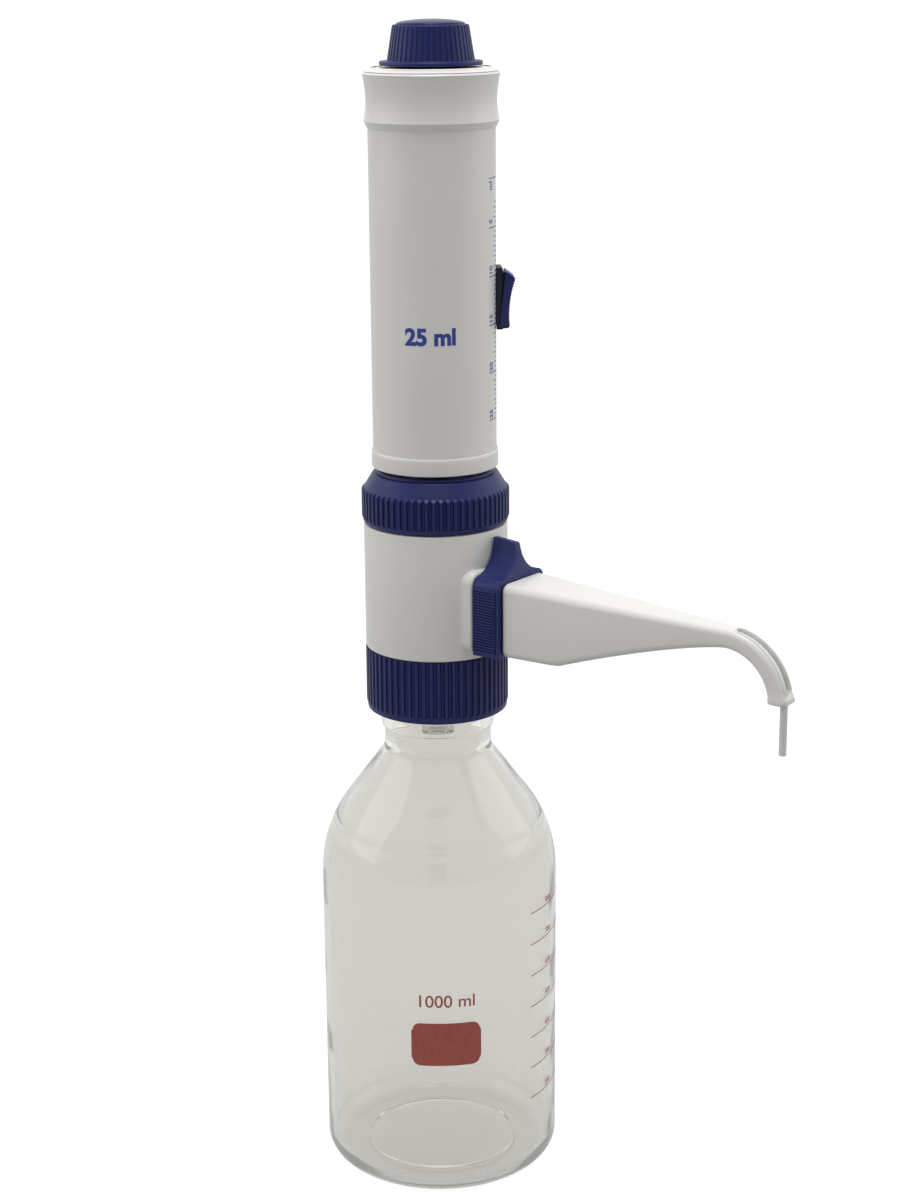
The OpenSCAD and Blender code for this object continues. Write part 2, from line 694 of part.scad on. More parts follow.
// Puts a cutter across the button, about the axis in front of it that its dished face bends round
module at_dish() translate([button_x + dish_t + dish_r, slider_w + over, dish_z])
    rotate([90, 0, 0]) children();

// Finger button: a dished cap with grip ridges, whose skirts stand beside the base's frame,
// with a core inside the frame and a plunger through it
module finger_button() color(navy) at_slider() {
    half = slider_h / 2 - 0.5;
    low_t = 1.6;
    high_t = 4;
    ridges = 13;
    plunger_x = pawl_r - rack_tooth - pawl_t;
    skirt_in = slider_w - skirt_t;
    difference() {
        union() {
            difference() {
                translate([0, slider_w, 0]) rotate([90, 0, 0]) linear_extrude(height = 2 * slider_w)
                    polygon([[skirt_x, -half + 1], [skirt_x + 0.8, -half], [button_x + low_t, -half + 0.5],
                        [button_x + high_t, half - 3.5], [button_x + high_t - 1.6, half - 1.5],
                        [button_x, half]]);
                translate([sleeve_r, -skirt_in, -slider_h]) cube([button_x - sleeve_r, 2 * skirt_in, 2 * slider_h]);
            }
            difference() {
                translate([core_x, -core_w, -core_h]) cube([button_x - core_x, 2 * core_w, 2 * core_h]);
                translate([core_x - over, 0, 0]) rotate([0, 90, 0])
                    cylinder(r = spring_room_r, h = button_x - core_x + over, $fn = 32);
            }
            translate([plunger_x, 0, 0]) rotate([0, 90, 0])
                cylinder(r = plunger_r, h = button_x - plunger_x + edge, $fn = 32);
        }
        at_dish() cylinder(r = dish_r, h = 2 * (slider_w + over), $fn = 96);
        for (i = [0:ridges - 1]) at_dish() rotate(180 + ridge_step * (2 - i)) translate([dish_r, 0, 0])
            cylinder(r = 0.3, h = 2 * (slider_w + over), $fn = 16);
    }
}

module button_spring() color(steel) at_slider()
    translate([sleeve_r + fit, 0, 0]) rotate([0, 90, 0])
        coil(spring_room_r - 0.5, 0.25, button_x - sleeve_r - 2 * fit, 3);

// Plate on the plunger's inner end, whose teeth face the racks
module pawl_plate() color(dark) at_slider() difference() {
    count = floor(2 * pawl_h / rack_pitch);
    union() {
        intersection() {
            ring(pawl_r - rack_tooth - pawl_t, pawl_r - rack_tooth, -pawl_h, 2 * pawl_h);
            rotate(-20) translate([0, 0, -pawl_h]) cube([sleeve_r, sleeve_r, 2 * pawl_h]);
            rotate(-70) translate([0, 0, -pawl_h]) cube([sleeve_r, sleeve_r, 2 * pawl_h]);
        }
        for (side = [-1, 1]) rotate(side * rack_angle) translate([pawl_r, 0, 0])
            toothed(-count * rack_pitch / 2, count, rack_tooth, -1);
    }
    rotate([0, 90, 0]) cylinder(r = plunger_r + fit, h = sleeve_r, $fn = 32);
}

module nozzle_housing() color(white) {
    corner = 3;
    steps = 12;
    bends = 8;
    body = [for (i = [0:steps]) let (f = i / steps)
        section(root_x + straight * f, (nozzle_top(f) + nozzle_bottom(f)) / 2, 90,
            (nozzle_top(f) - nozzle_bottom(f)) / 2,
            root_w + (tip_w + 0.3 - root_w) * pow(f, 1.1), corner - 0.8 * f)];
    curve = [for (i = [1:bends]) let (a = 90 - (90 - tip_end_angle) * i / bends)
        section(bend_x + bend_r * cos(a), bend_z + bend_r * sin(a), a, tip_h,
            tip_w + 0.3 * (1 - i / bends), 2.2)];
    end_z = bend_z + 1;
    end = [for (p = [[2.4, 0.35], [1.3, 0.47], [0.3, 0.3], [0, -0.4]])
        section(nozzle_reach + p[1] / 2, end_z + p[0], 0, tip_h + p[1], tip_w + p[1] / 2, 2.2)];
    difference() {
        union() {
            loft(concat(body, curve, end));
            translate([boss_x, 0, nozzle_z]) rotate([90, 0, 90])
                linear_extrude(height = root_x - boss_x + over) rounded(neck_w, neck_h, 2);
        }
        across(arm_r + fit, boss_x - over, arm_x - boss_x + over + fit);
        across(chamber_r + fit, boss_x, root_x - boss_x + over);
        tube_path(tube_r + channel_room);
        translate([bend_x, 0, bend_z]) rotate([90, 0, 0]) rotate(slot_start)
            rotate_extrude(angle = slot_sweep, $fn = 96)
                translate([tube_bend_r - tube_r - 2 * channel_room, -tip_slot_w]) square([10, 2 * tip_slot_w]);
    }
}

// Way of the discharge tube as a cutter: up the nozzle from its fitting, round the bend and down
module tube_path(r) {
    translate([tube_x, 0, tube_start_z]) rotate([0, 90 - lean, 0]) cylinder(r = r, h = tube_run, $fn = 32);
    translate([bend_x, 0, bend_z]) rotate([90, 0, 0])
        rotate_extrude(angle = tangent, $fn = 96) translate([tube_bend_r, 0]) circle(r = r, $fn = 32);
    translate([nozzle_reach + tube_out, 0, bend_z - tube_drop]) cylinder(r = r, h = tube_drop, $fn = 32);
}

// Straight length of tube along +Z
module straight_tube(r_out, r_in, length) difference() {
    cylinder(r = r_out, h = length, $fn = 32);
    translate([0, 0, -over]) cylinder(r = r_in, h = length + 2 * over, $fn = 32);
}

// The run up the nozzle is a hair thinner than the bend, and laps into its wall
module discharge_tube() color(glass) {
    translate([tube_x, 0, tube_start_z]) rotate([0, 90 - lean, 0])
        straight_tube(tube_r - tube_step, tube_in_r + tube_step, tube_run + tube_lap);
    translate([bend_x, 0, bend_z]) rotate([90, 0, 0])
        rotate_extrude(angle = tangent, $fn = 96) translate([tube_bend_r, 0]) difference() {
            circle(r = tube_r, $fn = 32);
            circle(r = tube_in_r, $fn = 32);
        }
    translate([nozzle_reach + tube_out, 0, bend_z - tube_drop]) straight_tube(tube_r, tube_in_r, tube_drop);
}

module discharge_seat() color(ptfe) difference() {
    across(chamber_r - fit, chamber_x, discharge_seat_t);
    across(discharge_hole_r, chamber_x - over, discharge_seat_t + 2 * over);
}

module discharge_ball() color(ceramic)
    translate([discharge_ball_x, 0, nozzle_z]) sphere(r = discharge_ball_r, $fn = 48);

module discharge_spring() color(steel) {
    coil_r = 2;
    start = discharge_ball_x + sqrt(pow(discharge_ball_r, 2) - pow(coil_r, 2)) + 3 * fit;
    translate([start, 0, nozzle_z]) rotate([0, 90, 0]) coil(coil_r, 0.3, fitting_x - start - fit, 4);
}

// Hollow screw that closes the valve chamber and holds the discharge tube
module discharge_fitting() color(ptfe) difference() {
    across(chamber_r - fit, fitting_x, root_x - 1 - fitting_x);
    translate([tube_x, 0, tube_start_z]) rotate([0, 90 - lean, 0])
        cylinder(r = tube_r + fit, h = tube_run, $fn = 32);
    translate([fitting_x - over, 0, tube_start_z]) rotate([0, 90, 0])
        cylinder(r = tube_in_r, h = tube_x - fitting_x + 2 * over, $fn = 32);
}

module nozzle_clip() color(navy) {
    fin_z = nozzle_z + fin_up;
    curve_z = fin_z - fin_straight;
    curve_x = fin_foot_w + sweep_r;
    shoulder_z = curve_z - sweep_r;
    grip_z = clip_z + 1.5;
    grip_pitch = (shoulder_z - shoulder_fillet - grip_z) / grip_ridges;
    side = concat([[clip_w - clip_leg, clip_z], [clip_w - edge, clip_z], [clip_w, clip_z + edge]],
        arc(clip_w - shoulder_fillet, shoulder_z - shoulder_fillet, shoulder_fillet, 0, 90, 4),
        arc(curve_x, curve_z, sweep_r, 262, 180 + fin_taper, 7),
        [[fin_w, fin_z - edge], [fin_w - edge, fin_z]]);
    outline = concat(side, reversed([for (p = side) [-p[0], p[1]]]),
        [[-clip_w + clip_leg, clip_roof], [clip_w - clip_leg, clip_roof]]);
    difference() {
        translate([clip_x, 0, 0]) rotate([90, 0, 90]) linear_extrude(height = clip_d) polygon(outline);
        translate([clip_x, 0, fin_z]) rotate([0, fin_slope, 0])
            translate([-over, -clip_w, 0]) cube([2 * clip_d, 2 * clip_w, clip_d]);
        translate([clip_x + clip_d, 0, shoulder_z]) rotate([0, -fin_lean, 0])
            translate([0, -clip_w, 0]) cube([clip_d, 2 * clip_w, 2 * fin_up]);
        for (i = [0:grip_ridges - 1], y = [-1, 1])
            translate([clip_x - over, y * (clip_w + 0.15), grip_z + (i + 0.5) * grip_pitch])
                rotate([0, 90, 0]) cylinder(r = 0.42, h = clip_d + over - 2, $fn = 16);
    }
}

glass_bottle();
bottle_gasket();
seat_ring();
collar_nut();
valve_block();
block_shell();
intake_valve_housing();
intake_seat();
intake_ball();
ball_cage();
cylinder_seal();
glass_cylinder();
guard_tube();
stop_cap();
lock_ring();
piston_head();
piston_seal();
piston_rod();
rod_nut();
outer_sleeve();
sleeve_end_ring();
sleeve_head();
top_knob();
knob_cap();
slider_rack();
slider_base();
finger_button();
button_spring();
pawl_plate();
nozzle_housing();
discharge_tube();
discharge_seat();
discharge_ball();
discharge_spring();
discharge_fitting();
nozzle_clip();
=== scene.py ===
# %% [markdown]
# # A bottle-top dispenser on its bottle
# The object is a hand-driven laboratory dispenser: a white sleeve slides over an inner glass
# cylinder, ribbed navy rings hold the parts together, and a long nozzle carries a thin tube.
# It stands on a clear one-litre bottle. The engineering model comes in as a fixed frame, and
# this lesson dresses it: smooth turned shells, real flutes, printed scales and finishes.

# %% The frame and the units
import math

import bmesh
import bpy
from mathutils import Matrix, Vector


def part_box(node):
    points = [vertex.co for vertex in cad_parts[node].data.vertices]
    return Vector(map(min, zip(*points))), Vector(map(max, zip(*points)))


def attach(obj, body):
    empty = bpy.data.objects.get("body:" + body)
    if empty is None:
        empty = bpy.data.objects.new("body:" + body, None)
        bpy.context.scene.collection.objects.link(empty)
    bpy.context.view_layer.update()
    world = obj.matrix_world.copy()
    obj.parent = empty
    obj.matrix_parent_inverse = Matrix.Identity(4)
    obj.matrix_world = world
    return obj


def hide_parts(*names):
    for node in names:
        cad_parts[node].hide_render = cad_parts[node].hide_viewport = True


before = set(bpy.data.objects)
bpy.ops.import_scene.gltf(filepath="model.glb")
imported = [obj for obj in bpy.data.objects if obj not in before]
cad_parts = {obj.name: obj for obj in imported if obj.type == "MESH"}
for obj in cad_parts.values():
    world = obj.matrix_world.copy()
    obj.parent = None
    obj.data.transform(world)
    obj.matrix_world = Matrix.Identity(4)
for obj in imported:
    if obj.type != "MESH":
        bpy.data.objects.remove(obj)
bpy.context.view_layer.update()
MM = 0.001
SHARP = math.radians(32)

# %% [markdown]
# ## Sizes from the frame
# Each visible shell is remade round the box of the CAD node that it stands for, so nothing is
# placed by eye. Lengths are in millimetres here and become metres when a mesh is finished.


# %% Reading a node's box
def low(node, axis=2):
    """Lowest coordinate of a CAD node, in millimetres."""
    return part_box(node)[0][axis] / MM


def high(node, axis=2):
    """Highest coordinate of a CAD node, in millimetres."""
    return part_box(node)[1][axis] / MM


nozzle_z = (low("discharge_fitting") + high("discharge_fitting")) / 2
print("nozzle axis at", round(nozzle_z, 2), "mm")

# %% [markdown]
# ## Mesh helpers
# Turned and moulded parts are grids of points: an outline repeated round an axis or along a
# path. A moulded edge is never a knife edge, and its small rounding is what catches the light,
# so outlines are written as corners, each with the length that its rounding takes off.


# %% Outlines
def rounded(corners, steps=4):
    """Points of a closed outline whose corners are (x, y) or (x, y, rounding)."""
    points = []
    for i, corner in enumerate(corners):
        here = Vector(corner[:2])
        cut_off = corner[2] if len(corner) > 2 else 0
        if not cut_off:
            points.append(tuple(here))
            continue
        before = Vector(corners[i - 1][:2]) - here
        after = Vector(corners[(i + 1) % len(corners)][:2]) - here
        start = here + before.normalized() * min(cut_off, before.length * 0.48)
        end = here + after.normalized() * min(cut_off, after.length * 0.48)
        for k in range(steps + 1):
            t = k / steps
            points.append(tuple(start * (1 - t) ** 2 + here * 2 * t * (1 - t) + end * t * t))
    return points


def arc(cx, cy, r, start, end, steps):
    """Points on an arc about (cx, cy), with its angles in degrees."""
    turns = [math.radians(start + (end - start) * i / steps) for i in range(steps + 1)]
    return [(cx + r * math.cos(a), cy + r * math.sin(a)) for a in turns]


def mix(a, b, t):
    """The value a share t of the way from a to b."""
    return a + (b - a) * t


# %% Grids, turned parts and swept parts
def stitch(bm, rows, around=True):
    """Fills a grid of vertices with quads. around joins the last row to the first."""
    n, m = len(rows), len(rows[0])
    for i in range(n if around else n - 1):
        for j in range(m):
            k, h = (i + 1) % n, (j + 1) % m
            bm.faces.new((rows[i][j], rows[k][j], rows[k][h], rows[i][h]))


def crease(mesh):
    """Shades a mesh smooth, except along edges that bend more sharply than SHARP."""
    bm = bmesh.new()
    bm.from_mesh(mesh)
    for face in bm.faces:
        face.smooth = True
    for edge in bm.edges:
        edge.smooth = edge.calc_face_angle(0) < SHARP
    bm.to_mesh(mesh)
    bm.free()


def linked(name, data):
    """A new object that holds some data, linked to the scene."""
    made = bpy.data.objects.new(name, data)
    bpy.context.scene.collection.objects.link(made)
    return made


def finished(name, bm, place=None):
    """Merges, orients and scales a bmesh in millimetres, and links it as an object in metres."""
    bmesh.ops.remove_doubles(bm, verts=bm.verts, dist=0.0005)
    bmesh.ops.delete(bm, geom=[e for e in bm.edges if not e.link_faces], context="EDGES")
    bmesh.ops.recalc_face_normals(bm, faces=bm.faces)
    if place is not None:
        bmesh.ops.transform(bm, matrix=place, verts=bm.verts)
    bmesh.ops.scale(bm, vec=(MM, MM, MM), verts=bm.verts)
    mesh = bpy.data.meshes.new(name)
    bm.to_mesh(mesh)
    bm.free()
    crease(mesh)
    return linked(name, mesh)


def turned(name, outline, segments=144):
    """A closed outline (radius, height) turned about Z."""
    bm = bmesh.new()
    rows = []
    for i in range(segments):
        a = 2 * math.pi * i / segments
        rows.append([bm.verts.new((r * math.cos(a), r * math.sin(a), z)) for r, z in outline])
    stitch(bm, rows)
    return finished(name, bm)


def lofted(name, rings, place=None):
    """A closed skin over rings of points, with a flat cap on each end."""
    bm = bmesh.new()
    rows = [[bm.verts.new(p) for p in ring] for ring in rings]
    stitch(bm, rows, around=False)
    bm.faces.new(rows[0])
    bm.faces.new(rows[-1])
    return finished(name, bm, place)


def lengthwise(name, outline, x0, x1, place=None):
    """A block whose outline (y, z) runs from x0 to x1."""
    return lofted(name, [[Vector((x, y, z)) for y, z in outline] for x in (x0, x1)], place)


def crosswise(name, outline, half_w, place=None):
    """A block whose outline (x, z) runs half_w to each side of the middle plane."""
    return lofted(name, [[Vector((x, y, z)) for x, z in outline] for y in (-half_w, half_w)], place)


# %% Cutting, joining and softening
def bake(piece):
    """Turns a piece with live modifiers into a plain mesh."""
    graph = bpy.context.evaluated_depsgraph_get()
    graph.update()
    mesh = bpy.data.meshes.new_from_object(piece.evaluated_get(graph))
    piece.modifiers.clear()
    piece.data = mesh
    crease(mesh)


def combine(piece, other, operation):
    """Joins another piece to this one, or cuts it away, and removes the other piece."""
    step = piece.modifiers.new(operation.lower(), "BOOLEAN")
    step.operation = operation
    step.solver = "EXACT"
    step.object = other
    bake(piece)
    bpy.data.objects.remove(other)


def soften(piece, width, segments, angle):
    """Rounds the edges of a piece that bend by more than an angle in degrees."""
    step = piece.modifiers.new("rounding", "BEVEL")
    step.width = width * MM
    step.segments = segments
    step.limit_method = "ANGLE"
    step.angle_limit = math.radians(angle)
    bake(piece)


# %% [markdown]
# ## One tree that repeats
# Flutes round a ring, grip ridges down a clip and ticks along a scale are the same job: one
# shape, repeated by a turn and a step. An Array modifier could do it, but a turn would need a
# helper object. A Geometry Nodes tree takes the turn as a number, so a ring of 64 flutes is one
# sector and a count. Instances are made real and welded at their seams.


# %% The repeating tree
def add(tree, kind, links=None, **settings):
    """Adds a node to any tree, with its settings, and its sockets set or linked."""
    made = tree.nodes.new(kind)
    for key, value in settings.items():
        setattr(made, key, value)
    for socket, value in (links or {}).items():
        if isinstance(value, bpy.types.NodeSocket):
            tree.links.new(value, made.inputs[socket])
        else:
            made.inputs[socket].default_value = value
    return made


def repeating_tree():
    """Geometry in, the same geometry repeated Count times, each turned by Turn and moved by Step."""
    tree = bpy.data.node_groups.new("repeat_by_turn_and_step", "GeometryNodeTree")
    face = tree.interface
    face.new_socket("Geometry", in_out="INPUT", socket_type="NodeSocketGeometry")
    for name, kind in (("Count", "Int"), ("Turn", "Float"), ("Step", "Vector"), ("Finish", "Material")):
        face.new_socket(name, in_out="INPUT", socket_type="NodeSocket" + kind)
    face.new_socket("Geometry", in_out="OUTPUT", socket_type="NodeSocketGeometry")
    given = add(tree, "NodeGroupInput").outputs
    index = add(tree, "GeometryNodeInputIndex").outputs["Index"]
    turn = add(tree, "ShaderNodeMath", {0: index, 1: given["Turn"]}, operation="MULTIPLY")
    about_z = add(tree, "ShaderNodeCombineXYZ", {"Z": turn.outputs["Value"]})
    rotation = add(tree, "FunctionNodeEulerToRotation", {"Euler": about_z.outputs["Vector"]})
    step = add(tree, "ShaderNodeVectorMath", {0: given["Step"], "Scale": index}, operation="SCALE")
    points = add(tree, "GeometryNodePoints", {"Count": given["Count"]})
    moved = add(tree, "GeometryNodeSetPosition",
                {"Geometry": points.outputs["Points"], "Offset": step.outputs["Vector"]})
    copies = add(tree, "GeometryNodeInstanceOnPoints",
                 {"Points": moved.outputs["Geometry"], "Instance": given["Geometry"],
                  "Rotation": rotation.outputs["Rotation"]})
    real = add(tree, "GeometryNodeRealizeInstances", {"Geometry": copies.outputs["Instances"]})
    welded = add(tree, "GeometryNodeMergeByDistance",
                 {"Geometry": real.outputs["Geometry"], "Distance": 0.002 * MM})
    dressed = add(tree, "GeometryNodeSetMaterial",
                  {"Geometry": welded.outputs["Geometry"], "Material": given["Finish"]})
    add(tree, "NodeGroupOutput", {"Geometry": dressed.outputs["Geometry"]})
    return tree


def run_tree(piece, tree, values):
    """Gives a tree its named inputs, runs it on a piece and keeps the result as a plain mesh."""
    nodes = piece.modifiers.new(tree.name, "NODES")
    nodes.node_group = tree
    for item in tree.interface.items_tree:
        if item.in_out == "INPUT" and item.name in values:
            nodes[item.identifier] = values[item.name]
    bake(piece)


REPEAT = repeating_tree()


def repeated(piece, count, finish, turn=0.0, step=(0, 0, 0)):
    """Repeats a piece in place, by a turn in radians and a step in millimetres."""
    run_tree(piece, REPEAT, {"Count": count, "Turn": turn, "Step": Vector(step) * MM, "Finish": finish})


def fluted(name, count, pitch_r, groove, depth, column, finish):
    """A ring of flutes: one sector, whose outline column(d) is cut d deep, repeated count times.

    Each groove is half an ellipse across: groove wide at the radius pitch_r, and depth deep.
    """
    pitch = 2 * math.pi / count
    half = groove / 2 / pitch_r
    shares = [-1, -0.86, -0.7, -0.5, -0.25, 0, 0.25, 0.5, 0.7, 0.86, 1]
    stops = [(-pitch / 2, 0)] + [(s * half, math.sqrt(1 - s * s)) for s in shares] + [(pitch / 2, 0)]
    bm = bmesh.new()
    rows = []
    for a, share in stops:
        rows.append([bm.verts.new((r * math.cos(a), r * math.sin(a), z)) for r, z in column(depth * share)])
    stitch(bm, rows, around=False)
    bmesh.ops.scale(bm, vec=(MM, MM, MM), verts=bm.verts)
    mesh = bpy.data.meshes.new(name)
    bm.to_mesh(mesh)
    bm.free()
    piece = linked(name, mesh)
    repeated(piece, count, finish, turn=pitch)
    whole = bmesh.new()
    whole.from_mesh(piece.data)
    bmesh.ops.recalc_face_normals(whole, faces=whole.faces)
    whole.to_mesh(piece.data)
    whole.free()
    crease(piece.data)
    return piece


# %% [markdown]
# ## Finishes
# Plastics come first. The white shells and the navy rings are injection moulded: a satin skin
# with a fine grain from the mould, slightly cloudy in tone, rougher where it was handled. The
# pattern sizes are real ones. A grain finer than the render shows is drawn a little coarser.


# %% Colour and moulded plastic
def linear(hex_colour):
    """An sRGB hex colour as linear values, opaque."""
    channels = [int(hex_colour[i:i + 2], 16) / 255 for i in (1, 3, 5)]
    return [c / 12.92 if c <= 0.04045 else ((c + 0.055) / 1.055) ** 2.4 for c in channels] + [1.0]


def blank(name):
    """A new material: its tree, its shader and its object coordinates."""
    material = bpy.data.materials.new(name)
    material.use_nodes = True
    tree = material.node_tree
    place = add(tree, "ShaderNodeTexCoord").outputs["Object"]
    return material, tree, tree.nodes["Principled BSDF"], place


def noise(tree, place, size_mm, detail=2.0):
    """A noise pattern whose features are about size_mm across."""
    return add(tree, "ShaderNodeTexNoise",
               {"Vector": place, "Scale": 1 / (size_mm * MM), "Detail": detail}).outputs["Fac"]


HANDLED_MM = 9.0


def moulded(name, dark, light, rough, grain_mm=0.35, grain_depth=0.004, cloud_mm=30.0, sheen=0.5):
    """Injection-moulded plastic between two close tones, with a fine grain from the mould.

    The tones drift over cloud_mm and the skin's roughness over HANDLED_MM. The grain of a real
    mould is about a tenth of a millimetre, too fine for the render, so grain_mm is coarser.
    """
    material, tree, shader, place = blank(name)
    cloud = noise(tree, place, cloud_mm)
    tone = add(tree, "ShaderNodeValToRGB", {"Fac": cloud})
    tone.color_ramp.elements[0].position = 0.35
    tone.color_ramp.elements[1].position = 0.65
    tone.color_ramp.elements[0].color = linear(dark)
    tone.color_ramp.elements[1].color = linear(light)
    tree.links.new(tone.outputs["Color"], shader.inputs["Base Color"])
    handled = add(tree, "ShaderNodeMapRange",
                  {"Value": noise(tree, place, HANDLED_MM), "From Min": 0.3, "From Max": 0.7,
                   "To Min": rough - 0.015, "To Max": rough + 0.015})
    tree.links.new(handled.outputs["Result"], shader.inputs["Roughness"])
    grain = add(tree, "ShaderNodeBump",
                {"Height": noise(tree, place, grain_mm), "Strength": 0.5, "Distance": grain_depth * MM})
    tree.links.new(grain.outputs["Normal"], shader.inputs["Normal"])
    shader.inputs["IOR"].default_value = 1.49
    shader.inputs["Specular IOR Level"].default_value = sheen
    return material


# Warm white with a soft, broad shine down the sleeve and the nozzle.
white_pp = moulded("white_moulded_polypropylene", "#E2E0DC", "#E4E2DE", 0.3)
# Deep navy whose flutes show as dull light lines, with no sharp glints.
navy_pp = moulded("navy_moulded_polypropylene", "#131B58", "#18215E", 0.38, sheen=0.35)
# The clip's navy is a shade lighter and more matt than that of the rings.
royal_pp = moulded("royal_navy_moulded_polypropylene", "#1B2560", "#1F2A67", 0.42, sheen=0.35)
# Nearly grainless, so the cap of the knob takes one smooth highlight.
gloss_abs = moulded("navy_glossy_abs", "#151D4E", "#19225A", 0.3, grain_depth=0.001, sheen=0.22)
# Almost black, with a rough grain: the saddle reads as a shadow behind the button.
dark_nylon = moulded("blue_black_moulded_nylon", "#0B0E20", "#10142A", 0.45, grain_mm=0.5,
                     grain_depth=0.012, sheen=0.35)
# Waxy off-white without a clear highlight, from the lathe.
ptfe = moulded("turned_ptfe", "#EDEDE8", "#F6F6F1", 0.42, grain_mm=0.6, grain_depth=0.002)
# Black rubber that swallows the light, so the seal is a dark line in the cylinder.
elastomer = moulded("black_fluoroelastomer", "#0E0E0E", "#171717", 0.6)
# Milky grey, dull from the press.
silicone = moulded("pressed_silicone", "#D6D7D6", "#E0E1E0", 0.5)
# Ivory balls, smooth enough for a sharp highlight.
alumina = moulded("polished_alumina", "#EFE9DA", "#F5F0E4", 0.12, grain_depth=0.0005)
print("plastics made:", len(bpy.data.materials))

# %% [markdown]
# Glass and clear tube are dielectrics that let light through. Blown borosilicate is not quite
# even: its wall swells and thins over a few centimetres, and that is what bends the reflections.
# Modelling those waves would take a very fine mesh, so a bump from a slow noise bends the light.
# The housing under the block is a clear fluoropolymer, and the thin tube is a milky one.
# The printed scales are fired or screen-printed inks, a little duller than what they lie on.


# %% Glass, clear plastic, ink and wire
HAZE_MM = 14.0
HELD_BOUNCES = 3.5
HELD_GLOW = 0.16


def clear(name, tint, ior, rough, wave_mm=22.0, wave_depth=0.05, through=1.0):
    """A dielectric with a slow waviness, which lets the share through of the light pass.

    The renderer gives up on light that a wall has held for several bounces, and leaves it
    black. Past HELD_BOUNCES such light ends in a faint glow instead.
    """
    material, tree, shader, place = blank(name)
    shader.inputs["Base Color"].default_value = linear(tint)
    shader.inputs["Transmission Weight"].default_value = through
    shader.inputs["IOR"].default_value = ior
    haze = add(tree, "ShaderNodeMapRange",
               {"Value": noise(tree, place, HAZE_MM), "From Min": 0.4, "From Max": 0.75,
                "To Min": rough, "To Max": rough + 0.02})
    tree.links.new(haze.outputs["Result"], shader.inputs["Roughness"])
    wave = add(tree, "ShaderNodeBump",
               {"Height": noise(tree, place, wave_mm, 1.0), "Strength": 0.4, "Distance": wave_depth * MM})
    tree.links.new(wave.outputs["Normal"], shader.inputs["Normal"])
    bounces = add(tree, "ShaderNodeLightPath").outputs["Glossy Depth"]
    trapped = add(tree, "ShaderNodeMath", {0: bounces, 1: HELD_BOUNCES}, operation="GREATER_THAN")
    held = add(tree, "ShaderNodeMath", {0: trapped.outputs["Value"], 1: HELD_GLOW}, operation="MULTIPLY")
    shader.inputs["Emission Color"].default_value = linear("#F4F4F0")
    tree.links.new(held.outputs["Value"], shader.inputs["Emission Strength"])
    return material


def ink(name, dark, light, rough):
    """Printed ink: nearly even, with the small thin spots of a screen print."""
    return moulded(name, dark, light, rough, grain_mm=0.25, grain_depth=0.003, cloud_mm=2.5)


def drawn_wire(name):
    """Bright drawn spring steel, with its fine lengthwise marks."""
    material, tree, shader, place = blank(name)
    shader.inputs["Metallic"].default_value = 1.0
    marks = noise(tree, place, 0.4)
    tone = add(tree, "ShaderNodeValToRGB", {"Fac": marks})
    tone.color_ramp.elements[0].color = linear("#9A9B9E")
    tone.color_ramp.elements[1].color = linear("#C4C5C8")
    tree.links.new(tone.outputs["Color"], shader.inputs["Base Color"])
    worn = add(tree, "ShaderNodeMapRange", {"Value": marks, "To Min": 0.2, "To Max": 0.34})
    tree.links.new(worn.outputs["Result"], shader.inputs["Roughness"])
    return material


# The bottle's glass: a faint warm tint, seen where the light runs along the wall.
borosilicate = clear("blown_borosilicate_glass", "#F7F6F2", 1.47, 0.0, wave_mm=26.0, wave_depth=1.4)
# The guard tube: clear, but with a touch of haze from the mould.
clear_pmp = clear("clear_moulded_polymethylpentene", "#F4F6F6", 1.46, 0.02)
# The valve housing: clear with a greyish bloom, so it shows as a pale stub in the neck.
housing_pfa = clear("clear_moulded_fluoropolymer", "#EFEFEC", 1.35, 0.08, through=0.85)
# The thin tube: milky, so it stands out against a white ground.
milky_pfa = clear("translucent_extruded_fluoropolymer", "#EBECED", 1.35, 0.35, wave_mm=6.0, through=0.15)
# Screen-printed blue on the sleeve and fired red-brown enamel on the glass, both matt.
blue_ink = ink("blue_screen_print", "#2B3D94", "#30429A", 0.5)
brown_ink = ink("fired_red_brown_enamel", "#A24E41", "#AA5446", 0.42)
# Grey steel with streaky highlights along the coils.
wire = drawn_wire("drawn_spring_steel")
print("finishes made:", [m.name for m in bpy.data.materials])


# %% Giving a piece its finish and its body
def fit(piece, body, finish, slot, *nodes):
    """Dresses a piece, lets it ride on a CAD body and hides the CAD nodes that it stands for."""
    piece.data.materials.clear()
    piece.data.materials.append(finish)
    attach(piece, body)
    if nodes:
        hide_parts(*nodes)
    print(piece.name, "on", body, "with", len(piece.data.polygons), "faces")
    return piece


# %% [markdown]
# ## The bottle
# A one-litre bottle is blown in a mould: a thick heel, a hollow under the base, a round shoulder
# and a neck with a bead under its screw thread. A Screw or Solidify modifier would give the wall
# one thickness, but blown glass is thick at the heel and thin at the shoulder. So the outline is
# written with both sides of the wall and turned. Light has to cross both, or glass looks solid.

# %% Sizes of the bottle
bottle_r = high("glass_bottle", 0)
lip_z = high("glass_bottle")
GLASS_T = 2.3
BASE_T = 4.0
HEEL_R = 9.0
FOOT_R = 32.4
PUNT = 3.0
SHOULDER_Z = lip_z - 93.5
SHOULDER_R = 57.0
SHOULDER_ANGLE = 36.5
NECK_R = 22.6
NECK_IN_R = 18.5
NECK_BEND = 8.0
BEAD_Z = lip_z - 27.4
BEAD_H = 6.8
BEAD_R = 24.4
FINISH_R = 21.0
MOUTH_R = 15.5
LIP_ROUND = 1.6
SWELL_UP = 22.0
SWELL_SPREAD = 2.2
SWELL_T = 0.55
BOTTLE_SIDES = 192
print("bottle", round(2 * bottle_r, 1), "mm across and", round(lip_z, 1), "mm high")


